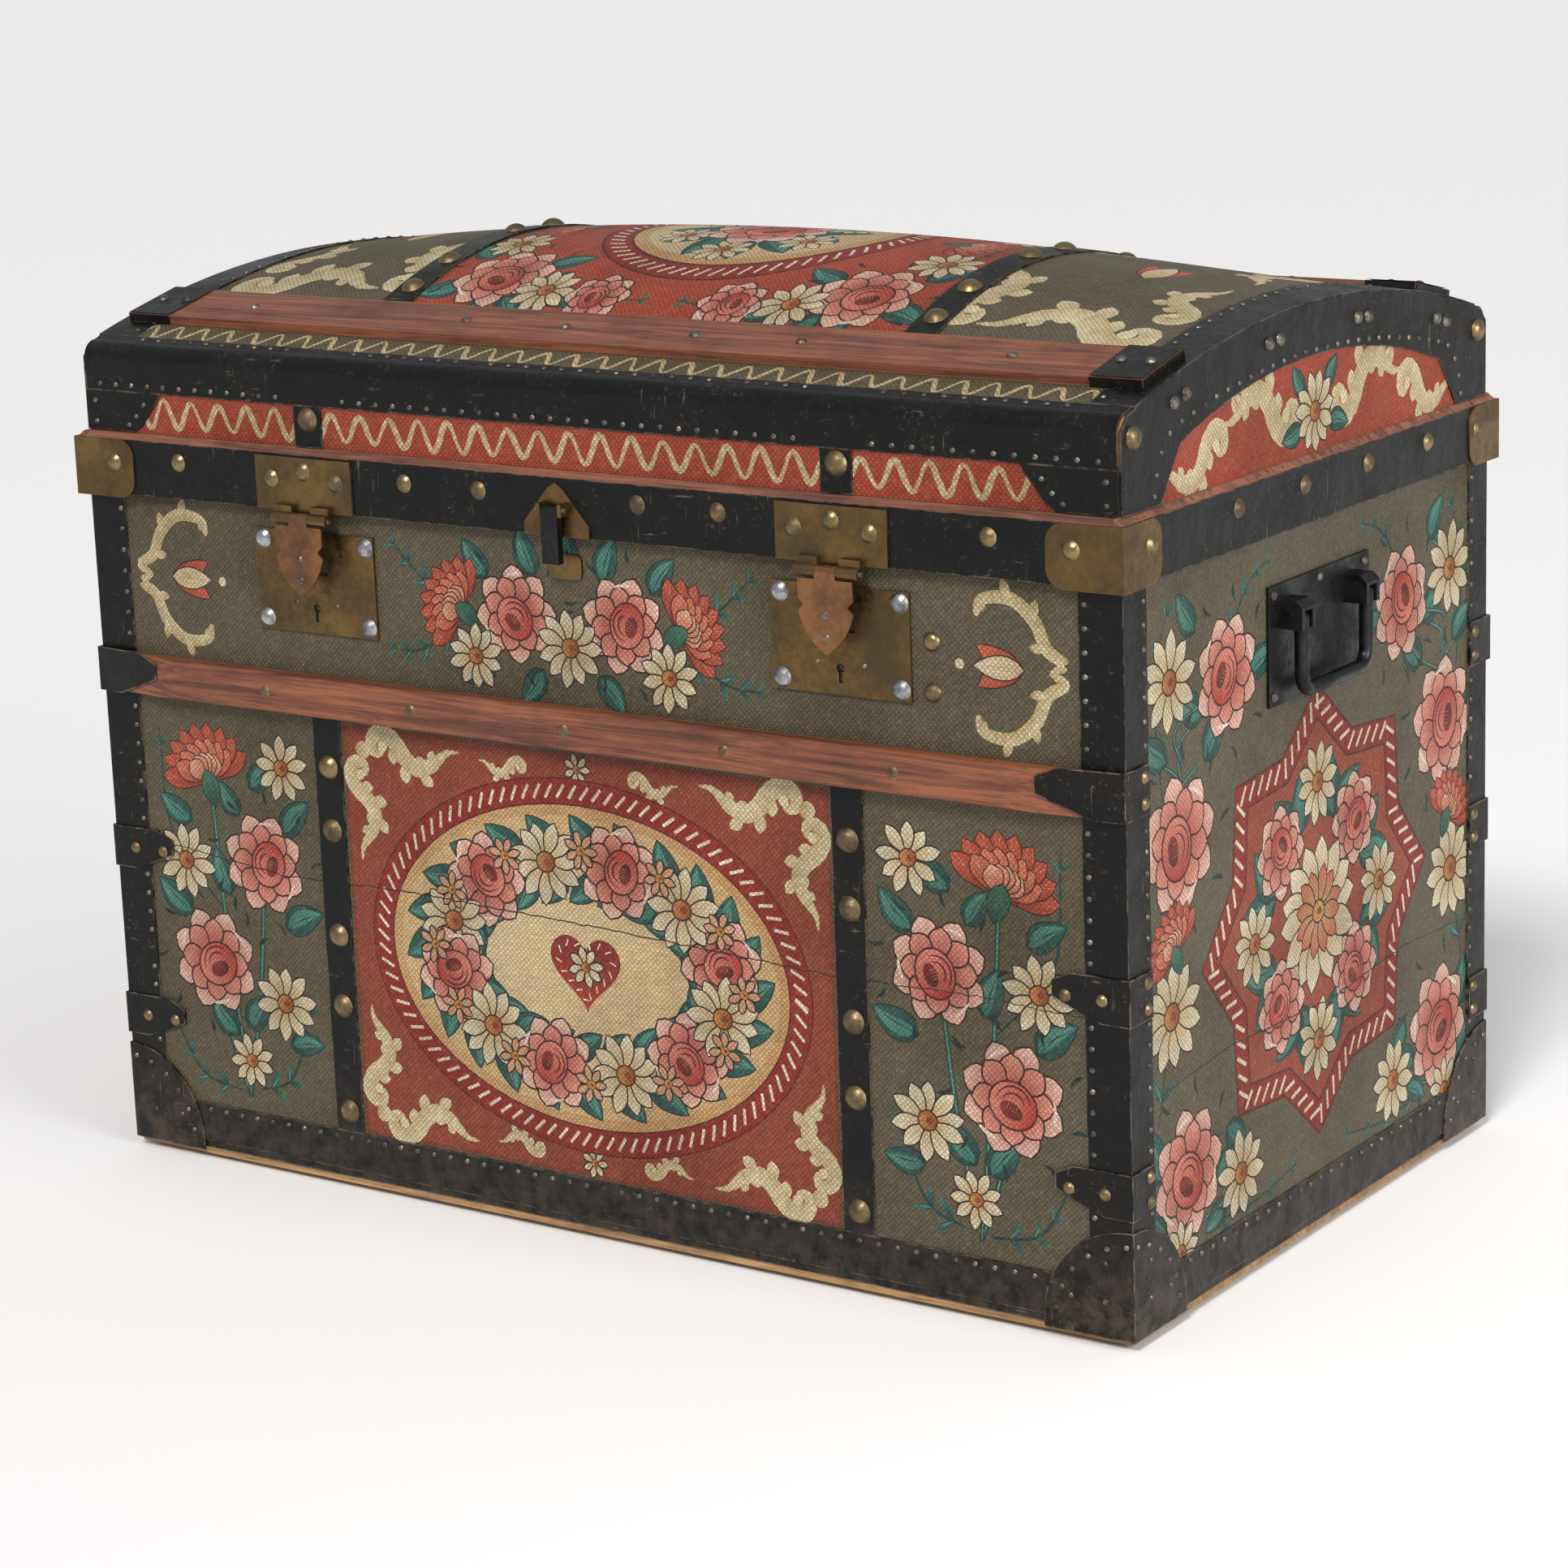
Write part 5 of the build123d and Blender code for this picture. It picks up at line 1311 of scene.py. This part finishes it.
# %% Tacks of the lid and the corner caps
lid_metal = surface(["lid_arch_bindings", "lid_edge_bindings"])
lid_rows = []
clear = [x for x in range(-385, 386, 14) if abs(abs(x) - 205) > 17]
for side in (-1, 1):
    lid_rows += seated(lid_metal, [(x, side * 300, 538.5) for x in clear], (0, -side, 0))
    lid_rows += seated(lid_metal, [(x, side * 225, 700) for x in clear if abs(x) < 360], (0, 0, -1), 0.5)
    lid_rows += seated(
        lid_metal, [(side * 373, y, 700) for y in range(-212, 213, 14) if abs(abs(y) - 174) > 28],
        (0, 0, -1), 0.5
    )
    inner = [(y, dome(LONG, y) - 29) for y in range(-168, 169, 14)] + [
        (e * y, z) for e in (-1, 1) for y, z in ((201, 513), (198, 525), (192, 537), (182, 547))
    ]
    lid_rows += seated(lid_metal, [(side * 450, y, z) for y, z in inner], (-side, 0, 0))
tack_rows("lid_tacks", lid_rows, "lid")

cap_metal = surface(["bottom_corner_caps"])
cap_rows = []
ring = [
    (55 * math.cos(a), 55 * math.sin(a)) for a in (0.15, 0.42, 0.69, 0.96, 1.23, 1.48)
] + [(20, 18), (20, 42), (44, 18)]
for sx in (-1, 1):
    for sy in (-1, 1):
        cap_rows += seated(cap_metal, [(sx * (401 - a), sy * 300, 12 + b) for a, b in ring], (0, -sy, 0))
        cap_rows += seated(cap_metal, [(sx * 450, sy * (241 - a), 12 + b) for a, b in ring], (-sx, 0, 0))
tack_rows("cap_tacks", cap_rows, "trunk")

# %% [markdown]
# ## Studs and rivets
# Larger heads hold the fittings. They reuse the tack's shape at other sizes, and ride on the body they
# belong to.

# %% Studs and rivets
arch_spots = [(y + e, dome(LONG, y + e) - 15) for y in (-170, -54, 62, 172) for e in (-7, 7)]
studs = []
for side in (-1, 1):
    studs += seated(lid_metal, [(side * 450, y, z) for y, z in arch_spots], (-side, 0, 0))
tack_rows("lid_end_studs", studs, "lid", 4.4, 3.0)
corner_spots = []
for side in (-1, 1):
    corner_spots += seated(lid_metal, [(side * 450, e * 225, 551) for e in (-1, 1)], (-side, 0, 0))
tack_rows("lid_corner_studs", corner_spots, "lid", 7.5, 4.6).data.materials[0] = old_brass
for name, sign in (("left", -1), ("right", 1)):
    tongue = surface([name + "_hasp_tongue"])
    tack_rows(
        name + "_hasp_studs", seated(tongue, [(sign * 205, -300, z) for z in (436, 422)], (0, 1, 0)),
        name + "_hasp", 2.6, 0.9
    )
    handle_plate = surface([name + "_handle_plate"])
    spots = [
        (sign * 450, y, z) for y in (-60, 60) for z in (365, 428)
    ] + [(sign * 450, 0, 429), (sign * 450, 0, 364)]
    tack_rows(name + "_handle_rivets", seated(handle_plate, spots, (-sign, 0, 0)), "trunk", 3.0, 2.0)
locks = surface(["lock_plates"])
tack_rows(
    "lock_rivets",
    seated(locks, [(s * 205 + e, -300, 404) for s in (-1, 1) for e in (-17, 17)], (0, 1, 0)), "trunk", 1.8,
    1.0
)
loose = tack_rows(
    "front_studs", [((269, -239, 423), (0, -1, 0)), ((269, -239, 392), (0, -1, 0))], "trunk", 6.0, 3.6
)
loose.data.materials[0] = old_brass


# %% [markdown]
# ## Corner pieces and slat sleeves
# Bent steel covers the lid's corners and the ends of its slats. A corner piece is a flat plate with its
# edges eased. A sleeve is cut from a copy of the slat and pushed out a little, so that it fits without
# measuring.

# %% Sheet steel of the lid: corner pieces and slat sleeves
def finish_piece(name, shape, coat, body):
    mesh = bpy.data.meshes.new(name)
    bmesh.ops.recalc_face_normals(shape, faces=shape.faces[:])
    shape.to_mesh(mesh)
    shape.free()
    mesh.materials.append(coat)
    piece = bpy.data.objects.new(name, mesh)
    bpy.context.scene.collection.objects.link(piece)
    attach(piece, body)
    print(name, len(mesh.polygons))
    return piece


def sheet_steel(name, corners, inward, coat, body, thick=1.0):
    """A flat plate: corners in mm on its outer face, thickened inwards."""
    shape = bmesh.new()
    face = shape.faces.new([shape.verts.new(Vector(c) * MM) for c in corners])
    grown_part = bmesh.ops.extrude_face_region(shape, geom=[face])
    moved = [v for v in grown_part["geom"] if isinstance(v, bmesh.types.BMVert)]
    bmesh.ops.translate(shape, verts=moved, vec=Vector(inward) * thick * MM)
    bmesh.ops.bevel(shape, geom=shape.edges[:], offset=0.25 * MM, segments=1, affect="EDGES")
    return finish_piece(name, shape, coat, body)


for name, sy in (("front", -1), ("back", 1)):
    for side, sx in (("left", -1), ("right", 1)):
        y = sy * 239.7
        corners = [
            (sx * 398.2, y, 507.4), (sx * 356, y, 507.4), (sx * 349, y, 512), (sx * 336, y, 528),
            (sx * 332, y, 534.2), (sx * 398.2, y, 534.2)
        ]
        sheet_steel("lid_" + name + "_" + side + "_corner", corners, (0, -sy, 0), black_lacquer, "lid")
        spots = [
            ((sx * a, y, b), (0, sy, 0)) for a,
            b in ((390, 513), (390, 527), (361, 512), (354, 518), (347, 526))
        ]
        tack_rows("lid_" + name + "_" + side + "_corner_tacks", spots, "lid")


def slat_sleeve(name, node, cut, lift, coat, body):
    """A steel sleeve over a slat's two ends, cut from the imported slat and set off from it."""
    shape = bmesh.new()
    shape.from_mesh(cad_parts[node].data)
    for sx in (-1, 1):
        bmesh.ops.bisect_plane(
            shape, geom=shape.verts[:] + shape.edges[:] + shape.faces[:], plane_co=(sx * cut * MM, 0, 0),
            plane_no=(1, 0, 0)
        )
    bmesh.ops.delete(
        shape, geom=[f for f in shape.faces if abs(f.calc_center_median().x) < cut * MM], context="FACES"
    )
    bmesh.ops.holes_fill(shape, edges=[e for e in shape.edges if e.is_boundary])
    bmesh.ops.recalc_face_normals(shape, faces=shape.faces[:])
    shape.normal_update()
    shifts = [(v, v.normal * lift * MM) for v in shape.verts]
    for v, shift in shifts:
        v.co += shift
    return finish_piece(name, shape, coat, body)


slat_sleeve("lid_slat_sleeves", "lid_slats", 356, 0.9, black_lacquer, "lid")
slat_tops = surface(["lid_slats"])
slat_spots = seated(
    slat_tops, [(sx * x, sy * 174, 700) for sx in (-1, 1) for sy in (-1, 1) for x in (363, 383)],
    (0, 0, -1), 0.5
)
slat_spots = [((p[0], p[1], p[2] + 0.9), out) for p, out in slat_spots]
tack_rows("lid_slat_end_studs", slat_spots, "lid", 3.6, 2.4)
slat_nails = seated(
    slat_tops, [(x, sy * 176, 700) for sy in (-1, 1) for x in (-300, -120, -40, 60, 140, 290)], (0, 0, -1),
    0.5
)
tack_rows("lid_slat_studs", slat_nails, "lid", 3.6, 2.4)

# %% [markdown]
# ## Room, light and camera
# The chest stands in a pale studio. One broad sun from the front gives soft shadows, a large lamp on the
# right lifts the end, and the sky fills the rest. A sun was chosen because it lights the whole floor
# evenly.

# %% Room, light and camera
bpy.ops.mesh.primitive_plane_add(size=60, location=(0, 0, 0))
floor = bpy.context.object
floor.name = "floor"


def floor_shader(tree, shader):
    shader.inputs["Base Color"].default_value = colour("#ededee")
    shader.inputs["Roughness"].default_value = 0.9


floor.data.materials.append(material("floor", floor_shader))

scene = bpy.context.scene
scene.view_settings.view_transform = "Standard"
world = bpy.data.worlds.new("sky")
scene.world = world
world.use_nodes = True
world.node_tree.nodes["Background"].inputs[0].default_value = colour("#eff1f3")
world.node_tree.nodes["Background"].inputs[1].default_value = 0.55


def window(name, spot, aim, size, power, tint):
    lamp = bpy.data.lights.new(name, "AREA")
    lamp.shape = "RECTANGLE"
    lamp.size, lamp.size_y = size
    lamp.energy = power
    lamp.color = colour(tint)[:3]
    made = bpy.data.objects.new(name, lamp)
    scene.collection.objects.link(made)
    made.location = spot
    made.rotation_euler = (Vector(aim) - Vector(spot)).to_track_quat("-Z", "Y").to_euler()


lamp = bpy.data.lights.new("daylight", "SUN")
lamp.energy = 2.3
lamp.angle = 0.30
lamp.color = colour("#fffaf5")[:3]
daylight = bpy.data.objects.new("daylight", lamp)
scene.collection.objects.link(daylight)
daylight.rotation_euler = (
    Vector((0, 0, 0)) - Vector((0.45, -1.9, 2.0))
).to_track_quat("-Z", "Y").to_euler()
window("bounce", (2.9, -0.7, 1.3), (0, 0, 0.3), (1.8, 1.6), 58, "#fbf9f6")

camera_data = bpy.data.cameras.new("camera")
SENSOR_MM = 36.0
LENS_MM = 98.36
camera_data.sensor_width = SENSOR_MM
camera_data.lens = LENS_MM
camera = bpy.data.objects.new("camera", camera_data)
scene.collection.objects.link(camera)
camera.location = (1.6065, -2.3191, 0.9621)
camera.rotation_euler = (1.3239, 0.0349, 0.5991)
scene.camera = camera
